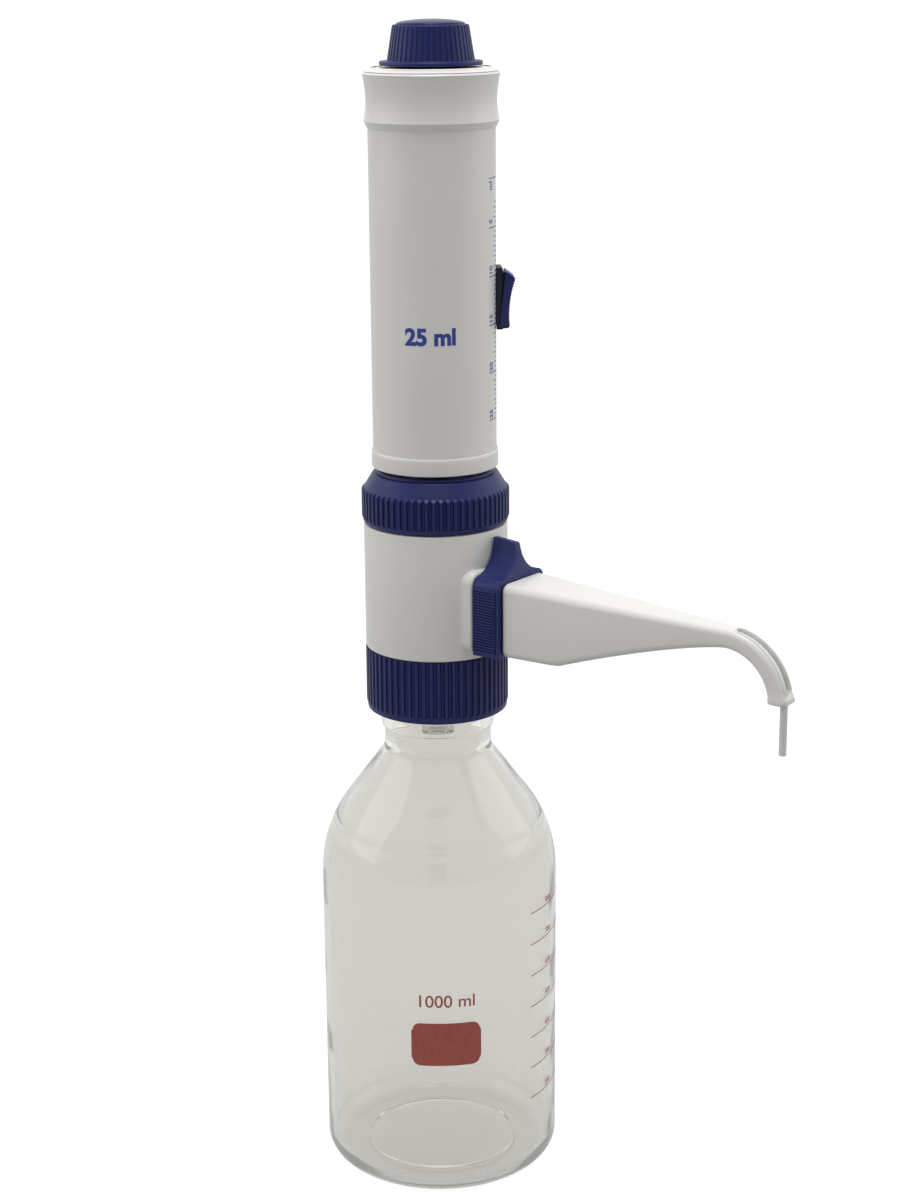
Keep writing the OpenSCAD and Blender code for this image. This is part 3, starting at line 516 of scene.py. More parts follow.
# %% Bottle outline
def neck_bend_z(wall_r, bend, neck):
    """Height of the centre of the curve between the shoulder's cone and the neck."""
    a = math.radians(SHOULDER_ANGLE)
    drop = (wall_r - neck - (bend + NECK_BEND) * (1 - math.cos(a))) / math.tan(a)
    return SHOULDER_Z + (bend + NECK_BEND) * math.sin(a) + drop


def punt(z, steps=10):
    """The domed hollow under or inside the base, from the axis outwards."""
    turns = [math.pi / 2 * i / steps for i in range(steps + 1)]
    return [(FOOT_R * math.sin(a), z + PUNT * math.cos(a)) for a in turns]


def swollen(points, z, spread, extra):
    """Draws a wall inwards by extra in a soft band about height z, as blown glass thickens."""
    return [(r - extra * math.exp(-((h - z) / spread) ** 2), h) for r, h in points]


inner_r = bottle_r - GLASS_T
inner_bend = SHOULDER_R - GLASS_T
bottle_outside = (
    punt(0)
    + [(FOOT_R + 3, 0.15)]
    + arc(bottle_r - HEEL_R, HEEL_R, HEEL_R, -90, 0, 12)
    + arc(bottle_r - SHOULDER_R, SHOULDER_Z, SHOULDER_R, 0, SHOULDER_ANGLE, 18)
    + arc(NECK_R + NECK_BEND, neck_bend_z(bottle_r, SHOULDER_R, NECK_R), NECK_BEND,
          180 + SHOULDER_ANGLE, 180, 10)
    + rounded([(NECK_R, BEAD_Z, 0.5), (NECK_R + 1.1, BEAD_Z + 0.4, 0.4),
               (BEAD_R, BEAD_Z + BEAD_H - 0.6, 1.0), (BEAD_R - 0.5, BEAD_Z + BEAD_H, 0.4),
               (FINISH_R, BEAD_Z + BEAD_H, 0.5)])
    + arc(FINISH_R - LIP_ROUND, lip_z - LIP_ROUND, LIP_ROUND, 0, 90, 6))
bottle_inside = (
    punt(BASE_T)
    + arc(bottle_r - HEEL_R, BASE_T + HEEL_R - GLASS_T, HEEL_R - GLASS_T, -90, 0, 12)
    + swollen(arc(bottle_r - SHOULDER_R, SHOULDER_Z, inner_bend, 0, SHOULDER_ANGLE, 48),
              SHOULDER_Z + SWELL_UP, SWELL_SPREAD, SWELL_T)
    + arc(NECK_IN_R + NECK_BEND, neck_bend_z(inner_r, inner_bend, NECK_IN_R), NECK_BEND,
          180 + SHOULDER_ANGLE, 180, 10)
    + [(NECK_IN_R, BEAD_Z + BEAD_H - 3), (MOUTH_R + 1.4, BEAD_Z + BEAD_H), (MOUTH_R, BEAD_Z + BEAD_H + 4)]
    + arc(MOUTH_R + 1.2, lip_z - 1.2, 1.2, 180, 90, 5))
bottle = turned("bottle_glass", bottle_outside + bottle_inside[::-1], BOTTLE_SIDES)
fit(bottle, "bottle", borosilicate, "bottle_glass", "glass_bottle")


# %% [markdown]
# The screw thread is a glass bead that winds round the finish, the part of the neck above the
# lower bead. A spiral curve with a round profile is exactly that rule, so Geometry Nodes draw
# it. It shows when the collar comes up.

# %% Screw thread
THREAD_PITCH = 4.0
THREAD_TURNS = 2.6
THREAD_R = 0.95
THREAD_PROUD = 0.45
THREAD_UP = 3


def spiral_tree():
    """A closed bead along a spiral, whose turns, radius, height and thickness are inputs."""
    tree = bpy.data.node_groups.new("spiral_bead", "GeometryNodeTree")
    face = tree.interface
    for name in ("Turns", "Radius", "Height", "Bead"):
        face.new_socket(name, in_out="INPUT", socket_type="NodeSocketFloat")
    face.new_socket("Finish", in_out="INPUT", socket_type="NodeSocketMaterial")
    face.new_socket("Geometry", in_out="OUTPUT", socket_type="NodeSocketGeometry")
    given = add(tree, "NodeGroupInput").outputs
    spiral = add(tree, "GeometryNodeCurveSpiral",
                 {"Resolution": 48, "Rotations": given["Turns"], "Start Radius": given["Radius"],
                  "End Radius": given["Radius"], "Height": given["Height"]})
    bead = add(tree, "GeometryNodeCurvePrimitiveCircle", {"Resolution": 12, "Radius": given["Bead"]})
    skin = add(tree, "GeometryNodeCurveToMesh", {"Curve": spiral.outputs["Curve"],
                                                 "Profile Curve": bead.outputs["Curve"],
                                                 "Fill Caps": True})
    real = add(tree, "GeometryNodeRealizeInstances", {"Geometry": skin.outputs["Mesh"]})
    dressed = add(tree, "GeometryNodeSetMaterial",
                  {"Geometry": real.outputs["Geometry"], "Material": given["Finish"]})
    add(tree, "NodeGroupOutput", {"Geometry": dressed.outputs["Geometry"]})
    return tree


thread = linked("bottle_thread", bpy.data.meshes.new("bottle_thread"))
run_tree(thread, spiral_tree(), {
    "Turns": THREAD_TURNS, "Radius": (FINISH_R + THREAD_PROUD) * MM,
    "Height": THREAD_TURNS * THREAD_PITCH * MM, "Bead": THREAD_R * MM, "Finish": borosilicate})
thread.data.transform(Matrix.Translation((0, 0, (BEAD_Z + BEAD_H + THREAD_UP) * MM)))
fit(thread, "bottle", borosilicate, "bottle_glass")

# %% [markdown]
# ## Prints
# Marks are thin films that follow the wall under them. They could be painted into the material,
# but a film keeps its sharp edge from any distance. A patch is a small curved block, a few
# hundredths of a millimetre proud. A numeral is a text curve, cut into narrow strips so that it
# can bend, wrapped round the wall and then given its thickness.

# %% Curved marks
FILM = 0.06
FILM_GAP = 0.01
PATCH_STRIP = 1.2
TEXT_STRIP = 1.0


def patch(name, wall_r, angle, width, z, height, corner=0.0):
    """A film on a wall: it runs from angle (degrees) over width mm, between z and z + height."""
    steps = max(2, int(width / PATCH_STRIP))
    bm = bmesh.new()
    rows = []
    for i in range(steps + 1):
        s = width * i / steps
        a = math.radians(angle) + s / wall_r
        edge = min(s, width - s, corner) if corner else 0
        trim = corner - math.sqrt(max(0.0, corner ** 2 - (corner - edge) ** 2)) if corner else 0
        inner, outer = wall_r + FILM_GAP, wall_r + FILM
        spots = ((inner, z + trim), (outer, z + trim),
                 (outer, z + height - trim), (inner, z + height - trim))
        rows.append([bm.verts.new((r * math.cos(a), r * math.sin(a), h)) for r, h in spots])
    stitch(bm, rows, around=False)
    bm.faces.new(rows[0])
    bm.faces.new(rows[-1])
    return finished(name, bm)


def lettering(name, text, size, wall_r, angle, z, upright=True, bold=0.0):
    """Text wrapped round a wall, centred at angle and z. If it isn't upright, it reads upwards."""
    curve = bpy.data.curves.new(name, "FONT")
    curve.body = text
    curve.size = size
    curve.align_x = "CENTER"
    curve.align_y = "CENTER"
    curve.offset = bold
    flat = linked(name, curve)
    graph = bpy.context.evaluated_depsgraph_get()
    mesh = bpy.data.meshes.new_from_object(flat.evaluated_get(graph))
    bpy.data.objects.remove(flat)
    bm = bmesh.new()
    bm.from_mesh(mesh)
    bmesh.ops.remove_doubles(bm, verts=bm.verts, dist=size * 1e-4)
    if not upright:
        bmesh.ops.rotate(bm, matrix=Matrix.Rotation(math.pi / 2, 3, "Z"), verts=bm.verts)
    reach = max(abs(v.co.x) for v in bm.verts)
    for i in range(int(-reach / TEXT_STRIP), int(reach / TEXT_STRIP) + 1):
        everything = list(bm.verts) + list(bm.edges) + list(bm.faces)
        bmesh.ops.bisect_plane(bm, geom=everything, plane_co=(i * TEXT_STRIP, 0, 0), plane_no=(1, 0, 0))
    base = math.radians(angle)
    upper = {}
    for v in list(bm.verts):
        a = base + v.co.x / wall_r
        out = Vector((math.cos(a), math.sin(a), 0))
        height = Vector((0, 0, z + v.co.y))
        v.co = out * (wall_r + FILM_GAP) + height
        upper[v] = out * (wall_r + FILM) + height
    faces = list(bm.faces)
    lifted = {v: bm.verts.new(spot) for v, spot in upper.items()}
    for face in faces:
        bm.faces.new([lifted[v] for v in face.verts])
    for edge in list(bm.edges):
        if len(edge.link_faces) == 1 and edge.verts[0] in lifted and edge.verts[1] in lifted:
            a, b = edge.verts
            bm.faces.new((a, b, lifted[b], lifted[a]))
    bpy.data.meshes.remove(mesh)
    return finished(name, bm)


# %% The bottle's scale
BOTTLE_MARK_ANGLE = -2.4
BOTTLE_MARKS = 7
BOTTLE_MARK_Z = 36.9
BOTTLE_MARK_STEP = 14.32
BOTTLE_MARK_W = 40.0
BOTTLE_MARK_T = 0.4
BOTTLE_FIRST = 2
BOTTLE_NUMBER_SIZE = 3.6
BOTTLE_NUMBER_ANGLE = 13.5
BOTTLE_NUMBER_UP = 2.2
line = patch("bottle_scale_lines", bottle_r, BOTTLE_MARK_ANGLE, BOTTLE_MARK_W,
             BOTTLE_MARK_Z - BOTTLE_MARK_T / 2, BOTTLE_MARK_T)
repeated(line, BOTTLE_MARKS, brown_ink, step=(0, 0, BOTTLE_MARK_STEP))
fit(line, "bottle", brown_ink, "bottle_glass")
for i in range(BOTTLE_MARKS):
    hundreds = BOTTLE_FIRST + i
    number = lettering("bottle_number_%d" % hundreds, str(100 * hundreds), BOTTLE_NUMBER_SIZE, bottle_r,
                       BOTTLE_NUMBER_ANGLE, BOTTLE_MARK_Z + i * BOTTLE_MARK_STEP + BOTTLE_NUMBER_UP)
    fit(number, "bottle", brown_ink, "bottle_glass")

# %% The bottle's writing field and capacity
FIELD_ANGLE = -66.4
FIELD_W = 29.8
FIELD_Z = 61.8
FIELD_H = 19.5
FIELD_CORNER = 4.0
CAPACITY_SIZE = 7.8
CAPACITY_ANGLE = -49.6
CAPACITY_Z = 91.0
field = patch("writing_field", bottle_r, FIELD_ANGLE, FIELD_W, FIELD_Z, FIELD_H, corner=FIELD_CORNER)
fit(field, "bottle", brown_ink, "bottle_glass")
capacity = lettering("bottle_capacity", "1000 ml", CAPACITY_SIZE, bottle_r, CAPACITY_ANGLE, CAPACITY_Z,
                     bold=0.05)
fit(capacity, "bottle", brown_ink, "bottle_glass")

# %% [markdown]
# ## The ribbed rings
# Both rings are navy polypropylene with grooves all round, for grip. On the lock ring a smooth
# cone starts at the depth of the grooves, so the ribs between them stand proud of it, with a
# rounded end each: a column of the sector steps in to the cone from however deep it is cut.

# %% Collar nut
collar_top = high("collar_nut")
collar_low = low("collar_nut")
collar_r = high("collar_nut", 1)
COLLAR_FLUTES = 60
COLLAR_GROOVE_W = 1.8
COLLAR_GROOVE = 1.05
COLLAR_IN_R = 22.9
COLLAR_HOLE_R = 17.4
COLLAR_ROOF_T = 3.3
COLLAR_LIP_H = 2.2
COLLAR_LIP_IN = 0.45


def collar_column(d):
    """The collar's section: a plain lip at its foot, and above it a wall that is cut d deep."""
    outer = collar_r - d
    lip = collar_r - COLLAR_LIP_IN
    lip_top = collar_low + COLLAR_LIP_H
    roof_z = collar_top - COLLAR_ROOF_T
    return rounded([
        (COLLAR_IN_R, collar_low, 0.3), (lip, collar_low, 0.7), (lip, lip_top, 0.15),
        (min(outer, lip), lip_top + 0.3, 0.0), (outer, lip_top + 0.7, 0.35), (outer, collar_top, 0.6),
        (COLLAR_HOLE_R, collar_top, 0.3), (COLLAR_HOLE_R, roof_z, 0.3), (COLLAR_IN_R, roof_z, 0.3)])


collar = fluted("collar_ribbed_nut", COLLAR_FLUTES, collar_r, COLLAR_GROOVE_W, COLLAR_GROOVE,
                collar_column, navy_pp)
fit(collar, "collar", navy_pp, "navy_plastic", "collar_nut")

# %% Lock ring
ring_low = low("lock_ring")
ring_top = high("lock_ring")
ring_r = high("lock_ring", 1)
CONE_Z = ring_low + 15.0
CONE_TOP_R = 25.8
RING_FLUTES = 64
RING_GROOVE_W = 1.75
RING_GROOVE = 1.1
RING_IN_R = 26.8
RING_HOLE_R = 18.5
RING_NECK_R = 24.0
RING_ROOM_H = 13.0
RIB_END = 0.9


def lock_ring_column(d):
    """The ring's section: a stepped foot, a wall cut d deep, a cone and a low neck."""
    outer = ring_r - d
    lip = ring_r - 0.4
    roof_z = ring_low + RING_ROOM_H
    return rounded([
        (RING_IN_R, ring_low, 0.3), (ring_r - 1.6, ring_low, 0.5), (lip, ring_low + 1.2, 0.5),
        (lip, ring_low + 2.1, 0.15), (min(outer, lip), ring_low + 2.3, 0.0),
        (outer, ring_low + 2.7, 0.3), (outer, CONE_Z - RIB_END * (1 - d / RING_GROOVE), 0.5),
        (ring_r - RING_GROOVE - 0.05, CONE_Z + 0.1, 0.1), (CONE_TOP_R, ring_top - 1.2, 0.5),
        (RING_NECK_R + 0.2, ring_top - 1.1, 0.1), (RING_NECK_R, ring_top, 0.3),
        (RING_HOLE_R, ring_top, 0.3), (RING_HOLE_R, roof_z, 0.3), (RING_IN_R, roof_z, 0.3)])


lock_ring = fluted("lock_ribbed_ring", RING_FLUTES, ring_r, RING_GROOVE_W, RING_GROOVE,
                   lock_ring_column, navy_pp)
fit(lock_ring, "lock", navy_pp, "navy_plastic", "lock_ring")

# %% [markdown]
# ## The white body
# The body is a plain satin cylinder with a flat boss where the nozzle is screwed on. A bevel
# would also round the seam between the two, so the boss is lofted from rounded rectangles that
# shrink over its last millimetre. It is joined to the turned shell, and the bore is cut from
# both. The arm with the discharge valve comes out through a hole in the boss.


# %% Rounded rectangles and the body
def rectangle(x, z, lean, half_h, half_w, corner, steps=6):
    """Rounded rectangle about (x, 0, z), facing along the nozzle, leaning by an angle in degrees."""
    up = Vector((math.cos(math.radians(lean)), 0, math.sin(math.radians(lean))))
    points = []
    for c, (su, sv) in enumerate(((1, 1), (-1, 1), (-1, -1), (1, -1))):
        for i in range(steps + 1):
            b = math.radians(90 * c + 90 * i / steps)
            u = su * (half_w - corner) + corner * math.cos(b)
            v = sv * (half_h - corner) + corner * math.sin(b)
            points.append(Vector((x, u, z)) + up * v)
    return points


def softened_block(name, x0, x1, z, half_h, half_w, corner, edge):
    """A block along X whose far edges are rounded over edge mm."""
    rings = [rectangle(x0, z, 90, half_h, half_w, corner)]
    for i in range(7):
        a = math.pi / 2 * i / 6
        inset = edge * (1 - math.cos(a))
        rings.append(rectangle(x1 - edge + edge * math.sin(a), z, 90, half_h - inset, half_w - inset,
                               max(corner - inset, 0.3)))
    return lofted(name, rings)


shell_low = low("block_shell")
shell_top = high("block_shell")
boss_x = high("block_shell", 0)
shell_r = high("block_shell", 1)
BOSS_LOW = 3.4
BOSS_TOP = 37.9
BOSS_START_X = 10.0
BOSS_HALF_W = 16.3
BOSS_CORNER = 5.2
BOSS_EDGE = 1.6
SHELL_IN_R = 27.25
SHELL_EDGE = 0.7
SHELL_SIDES = 192
ARM_HOLE_R = 8.05
OVER = 1
body = turned("body_shell", rounded([
    (0, shell_low), (shell_r, shell_low, SHELL_EDGE), (shell_r, shell_top, SHELL_EDGE),
    (0, shell_top)]), SHELL_SIDES)
boss = softened_block("boss", BOSS_START_X, boss_x, shell_low + (BOSS_LOW + BOSS_TOP) / 2,
                      (BOSS_TOP - BOSS_LOW) / 2, BOSS_HALF_W, BOSS_CORNER, BOSS_EDGE)
combine(body, boss, "UNION")
bore = turned("bore", [(0, shell_low - OVER), (SHELL_IN_R, shell_low - OVER),
                       (SHELL_IN_R, shell_top + OVER), (0, shell_top + OVER)])
combine(body, bore, "DIFFERENCE")
arm_hole = lofted("arm_hole", [rectangle(x, nozzle_z, 90, ARM_HOLE_R, ARM_HOLE_R, ARM_HOLE_R - 0.01, 12)
                               for x in (0, boss_x + OVER)])
combine(body, arm_hole, "DIFFERENCE")
fit(body, "block", white_pp, "white_plastic", "block_shell")

# %% [markdown]
# ## The nozzle
# The nozzle is one hollow moulding: deep at its root, flat-sided, tapering in a long sweep to a
# thin curved tip. A curve with a bevel keeps one section all the way, and this section changes
# from a tall rectangle to a small round one. So rounded rectangles are set along the way and
# skinned. The lower edge leaves the horizontal late, which a power curve gives. Half widths and
# half heights are used throughout.

# %% Sizes of the nozzle
TUBE_R = 1.5
TUBE_IN_R = 0.8
TUBE_OUT = 1.6
ROOT_GAP = 0.3
root_x = high("nozzle_clip", 0) + ROOT_GAP
nozzle_reach = high("discharge_tube", 0) - TUBE_R - TUBE_OUT
ROOT_W = 13.6
ROOT_H = 15.5
TIP_W = 4.4
TIP_H = 3.8
BEND_R = 23.2
END_ANGLE = 12
SLIM = 0.3
ROOT_EDGE = 1.1
ROOT_CORNER = 3.4
NECK_CORNER = 2.4
BEND_CORNER = 2.3
MOUTH_CORNER = 2.2
CORNER_STEPS = 8
FLAT_SHARE = 0.25
bend_x = nozzle_reach - BEND_R
bend_z = nozzle_z - ROOT_H
straight = bend_x - root_x
print("nozzle: straight for", round(straight, 1), "mm, then a bend of radius", BEND_R, "mm")


# %% Nozzle sweep
def lower_edge(f):
    """Height of the nozzle's lower edge at the share f of its straight length."""
    if f < FLAT_SHARE:
        return bend_z
    left = 1 - (f - FLAT_SHARE) / (1 - FLAT_SHARE)
    return bend_z + (BEND_R - TIP_H) * (1 - left ** 1.3)


def upper_edge(f):
    """Height of the nozzle's upper edge, which falls in a straight line."""
    return mix(nozzle_z + ROOT_H, bend_z + BEND_R + TIP_H, f)


def nozzle_section(f, inset=0.0):
    """The rounded rectangle at the share f, drawn in by inset all round."""
    top, bottom = upper_edge(f), lower_edge(f)
    half_w = mix(ROOT_W, TIP_W + SLIM, f ** 1.1)
    corner = max(mix(ROOT_CORNER, NECK_CORNER, f) - inset, 0.4)
    return rectangle(root_x + straight * f, (top + bottom) / 2, 90,
                     (top - bottom) / 2 - inset, half_w - inset, corner, CORNER_STEPS)


rings = []
for i in range(6):
    a = math.pi / 2 * i / 5
    ring = nozzle_section(ROOT_EDGE * math.sin(a) / straight, ROOT_EDGE * (1 - math.sin(a)))
    shift = ROOT_EDGE * (1 - math.cos(a)) - ROOT_EDGE * math.sin(a)
    rings.append([p + Vector((shift, 0, 0)) for p in ring])
rings += [nozzle_section(mix(0.03, 1, i / 30)) for i in range(31)]
for i in range(1, 25):
    a = mix(90, END_ANGLE, i / 24)
    rings.append(rectangle(bend_x + BEND_R * math.cos(math.radians(a)),
                           bend_z + BEND_R * math.sin(math.radians(a)), a,
                           TIP_H, TIP_W + SLIM * (1 - i / 24), BEND_CORNER, CORNER_STEPS))
# The mouth ends in a small rolled lip, given as heights and how far the section grows there.
for above, grow in ((3.4, 0.35), (2.9, 0.43), (2.3, 0.47), (1.7, 0.44), (1.3, 0.3), (1.05, 0), (1, -0.4)):
    rings.append(rectangle(nozzle_reach + grow / 2, bend_z + above, 0,
                           TIP_H + grow, TIP_W + grow / 2, MOUTH_CORNER, CORNER_STEPS))
nozzle = lofted("nozzle_shell", rings)

# %% [markdown]
# The tip has a long slot on its outer side, where the tube is laid in, and a round channel for
# the tube runs through the whole nozzle. Both are cut away with solids that follow the bend. A
# cutter with long straight sides would bridge the curve and leave the slot half closed, so the
# slot's outline is given many points along the bend.

# %% The slot and the channel of the nozzle
TIP_SLOT_HALF = 2.1
TUBE_ROOM = 0.2
TUBE_START = 3.5
SLOT_START = 15.0
SLOT_END = 77.0
tube_bend_r = BEND_R + TUBE_OUT
tangent_x, tangent_z = root_x - bend_x, nozzle_z - bend_z
tangent = math.degrees(math.atan2(tangent_z, tangent_x)
                       - math.acos(tube_bend_r / math.hypot(tangent_x, tangent_z)))
lean = math.radians(tangent - 90)
tube_start_x = boss_x + TUBE_START
tube_start_z = nozzle_z - (root_x - tube_start_x) * math.tan(lean)


def slot_outline(grow=0.0, steps=10, runs=16):
    """The slot's outline on the bend: (angle in degrees, y), a run with two round ends."""
    half = TIP_SLOT_HALF + grow
    round_a = math.degrees(half / BEND_R)
    turns = [math.radians(90 - 180 * i / steps) for i in range(steps + 1)]
    upper_end = [(SLOT_END + round_a * math.cos(b), half * math.sin(b)) for b in turns]
    lower_end = [(SLOT_START - round_a * math.cos(b), -half * math.sin(b)) for b in turns]
    between = [mix(SLOT_END, SLOT_START, i / runs) for i in range(1, runs)]
    return upper_end + [(a, -half) for a in between] + lower_end + [(a, half) for a in between[::-1]]


def on_bend(r, a, y):
    """A point at radius r and angle a (degrees) about the bend's centre."""
    return Vector((bend_x + r * math.cos(math.radians(a)), y, bend_z + r * math.sin(math.radians(a))))


def tube_rings(r, sides=20):
    """Rings of radius r along the way of the tube: up the nozzle, round the bend and down."""
    way = [(tube_start_x, tube_start_z, tangent)]
    for i in range(33):
        a = tangent * (1 - i / 32)
        spot = on_bend(tube_bend_r, a, 0)
        way.append((spot.x, spot.z, a))
    way.append((nozzle_reach + TUBE_OUT, low("discharge_tube"), 0))
    made = []
    for x, z, a in way:
        up = Vector((math.cos(math.radians(a)), 0, math.sin(math.radians(a))))
        turns = [2 * math.pi * j / sides for j in range(sides)]
        made.append([Vector((x, r * math.cos(b), z)) + up * (r * math.sin(b)) for b in turns])
    return made


slot_floor_r, slot_open_r = tube_bend_r - TUBE_R - 0.4, BEND_R + 9
slot_sides = sorted((a, y) for a, y in slot_outline() if y > 0.1)
slot_corners = [(slot_floor_r, 1), (slot_open_r, 1), (slot_open_r, -1), (slot_floor_r, -1)]
slot_cutter = lofted("slot", [[on_bend(r, a, side * y) for r, side in slot_corners]
                              for a, y in slot_sides])
combine(nozzle, slot_cutter, "DIFFERENCE")
combine(nozzle, lofted("tube_bore", tube_rings(TUBE_R + TUBE_ROOM)), "DIFFERENCE")
fit(nozzle, "block", white_pp, "white_plastic", "nozzle_housing")


# %% [markdown]
# The slot has a raised rounded lip. A bevel can't raise an edge, so the lip is a thin bead of its
# own, drawn round the same outline. The tube is a skin over two rows of rings, its outer wall
# and its bore, so that it is open at both ends.


# %% The slot's lip and the tube
def bead_loop(name, path, r, sides=10):
    """A closed round bead along a closed path."""
    bm = bmesh.new()
    rows = []
    for i, here in enumerate(path):
        along = (path[(i + 1) % len(path)] - path[i - 1]).normalized()
        side = along.cross(Vector((0, 1, 0)))
        side = side.normalized() if side.length > 0.2 else along.cross(Vector((1, 0, 0))).normalized()
        other = along.cross(side)
        turns = [2 * math.pi * j / sides for j in range(sides)]
        rows.append([bm.verts.new(here + (side * math.cos(b) + other * math.sin(b)) * r) for b in turns])
    stitch(bm, rows)
    return finished(name, bm)


LIP_R = 0.42
LIP_SINK = 0.05
lip_path = [on_bend(BEND_R + TIP_H - LIP_SINK, a, y) for a, y in slot_outline(LIP_R)]
slot_lip = bead_loop("nozzle_slot_lip", lip_path, LIP_R)
fit(slot_lip, "block", white_pp, "white_plastic")
tube_bm = bmesh.new()
tube_walls = tube_rings(TUBE_R) + tube_rings(TUBE_IN_R)[::-1]
tube_rows = [[tube_bm.verts.new(p) for p in ring] for ring in tube_walls]
stitch(tube_bm, tube_rows)
tube = finished("discharge_fine_tube", tube_bm)
fit(tube, "block", milky_pfa, "clear_tube", "discharge_tube")

# %% [markdown]
# ## The clip
# The clip straddles the nozzle's root: two legs with grip ridges, a waist that sweeps in and a
# fin. Everything but the fin has one thickness, so its outline is drawn once and carried along.
# Two wedges trim the fin to a sloping top and a leaning front, a bevel rounds the edges, and one
# half-round ridge is repeated down each leg.

# %% Clip
clip_x0, clip_x1 = low("nozzle_clip", 0), high("nozzle_clip", 0)
clip_low, fin_z = low("nozzle_clip"), high("nozzle_clip")
clip_w = high("nozzle_clip", 1)
LEG = 5.2
FIN_W = 1.2
FIN_FOOT_W = 1.9
FIN_TAPER = 10
FIN_SLOPE = math.radians(5)
FIN_LEAN = math.radians(7.6)
SWEEP_R = 11.5
FIN_TIP_H = 2.5
SHOULDER_ROUND = 4
ROOF_UP = 11.3
WEDGE = 40
WEDGE_HALF_W = 20
RIDGE_LIFT = 0.75
clip_roof = nozzle_z + ROOF_UP
sweep_z = fin_z - FIN_TIP_H
shoulder_z = sweep_z - SWEEP_R
side_w = clip_w - RIDGE_LIFT
clip_side = ([(clip_w - LEG, clip_low), (side_w, clip_low)]
             + arc(side_w - SHOULDER_ROUND, shoulder_z - SHOULDER_ROUND, SHOULDER_ROUND, 0, 90, 8)
             + arc(FIN_FOOT_W + SWEEP_R, sweep_z, SWEEP_R, 262, 180 + FIN_TAPER, 16)
             + [(FIN_W, fin_z)])
clip_outline = clip_side + [(-y, z) for y, z in clip_side[::-1]]
clip_outline += [(-(clip_w - LEG), clip_roof), (clip_w - LEG, clip_roof)]
clip = lengthwise("clip_body", clip_outline, clip_x0, clip_x1)
fall, back = WEDGE * math.tan(FIN_SLOPE), WEDGE * math.tan(FIN_LEAN)
wedge_z = shoulder_z + WEDGE
for cut in ([(clip_x0 - WEDGE, fin_z + fall), (clip_x0 + WEDGE, fin_z - fall), (clip_x0, fin_z + 60)],
            [(clip_x1, shoulder_z), (clip_x1 - back, wedge_z), (clip_x1 + WEDGE, wedge_z)]):
    combine(clip, crosswise("wedge", cut, WEDGE_HALF_W), "DIFFERENCE")
soften(clip, 0.8, 3, 50)
fit(clip, "clip", royal_pp, "navy_plastic", "nozzle_clip")

# %% Grip ridges
RIDGES = 23
RIDGE_SHARE = 0.34
RIDGE_SINK = 0.1
RIDGE_START = 1.5
BACK_MARGIN = 0.15
FRONT_MARGIN = 1.3
ridge_low = clip_low + RIDGE_START
ridge_pitch = (shoulder_z - SHOULDER_ROUND - ridge_low) / RIDGES
for name, way in (("near", -1), ("far", 1)):
    section = [(way * (side_w - RIDGE_SINK + (RIDGE_LIFT + RIDGE_SINK) * v),
                ridge_low + ridge_pitch * (0.5 + RIDGE_SHARE * u)) for u, v in arc(0, 0, 1, 180, 0, 8)]
    ridge = lengthwise("clip_ridges_" + name, section, clip_x0 + BACK_MARGIN, clip_x1 - FRONT_MARGIN)
    repeated(ridge, RIDGES, royal_pp, step=(0, 0, ridge_pitch))
    fit(ridge, "clip", royal_pp, "navy_plastic")

# %% [markdown]
# ## The sleeve
# The sleeve is three white mouldings: a tube with a slot for the slider, a foot ring with a
# soft bright edge, and a waisted head that gives the hand its hold. A line of shadow runs where
# one moulding meets the next, so each is turned by itself instead of one long shell.

# %% Sleeve tube
sleeve_r = high("outer_sleeve", 1)
tube_low, tube_top = low("outer_sleeve"), high("outer_sleeve")
SLEEVE_T = 1.8
SLIDER_ANGLE = math.radians(40)
SLEEVE_SIDES = 192
SLOT_HALF = 3.5
SLOT_CORNER = 0.6
SLOT_BELOW = 58.4
SLOT_ABOVE = 48.7
slider_turn = Matrix.Rotation(SLIDER_ANGLE, 4, "Z")
slider_z = (low("slider_base") + high("slider_base")) / 2
slot_low, slot_top = slider_z - SLOT_BELOW, slider_z + SLOT_ABOVE
sleeve = turned("sleeve_tube", [(sleeve_r - SLEEVE_T, tube_low), (sleeve_r, tube_low), (sleeve_r, tube_top),
                                (sleeve_r - SLEEVE_T, tube_top)], SLEEVE_SIDES)
slot_edge = rounded([(-SLOT_HALF, slot_low, SLOT_CORNER), (SLOT_HALF, slot_low, SLOT_CORNER),
                     (SLOT_HALF, slot_top, SLOT_CORNER), (-SLOT_HALF, slot_top, SLOT_CORNER)])
combine(sleeve, lengthwise("sleeve_slot", slot_edge, 15, 30, slider_turn), "DIFFERENCE")
fit(sleeve, "piston", white_pp, "white_plastic", "outer_sleeve")

# %% Foot ring
foot_low = low("sleeve_end_ring")
foot_r = high("sleeve_end_ring", 1)
FOOT_HOLE_R = 18.5
FOOT_FLOOR_T = 1.4
FOOT_ROUND_R = 25.6
FOOT_ROUND_Z = 5.4
FOOT_ROUND_H = 1.8
foot_edge = [(mix(FOOT_ROUND_R, foot_r, math.cos(math.radians(b))),
              foot_low + FOOT_ROUND_Z + FOOT_ROUND_H * math.sin(math.radians(b)))
             for b in range(0, 91, 15)]
floor_z = foot_low + FOOT_FLOOR_T
foot = turned("sleeve_foot_ring", rounded(
    [(FOOT_HOLE_R, foot_low, 0.3), (foot_r, foot_low, 0.6)] + foot_edge
    + [(FOOT_ROUND_R - 0.05, floor_z), (FOOT_HOLE_R, floor_z, 0.2)]), SLEEVE_SIDES)
fit(foot, "piston", white_pp, "white_plastic", "sleeve_end_ring")

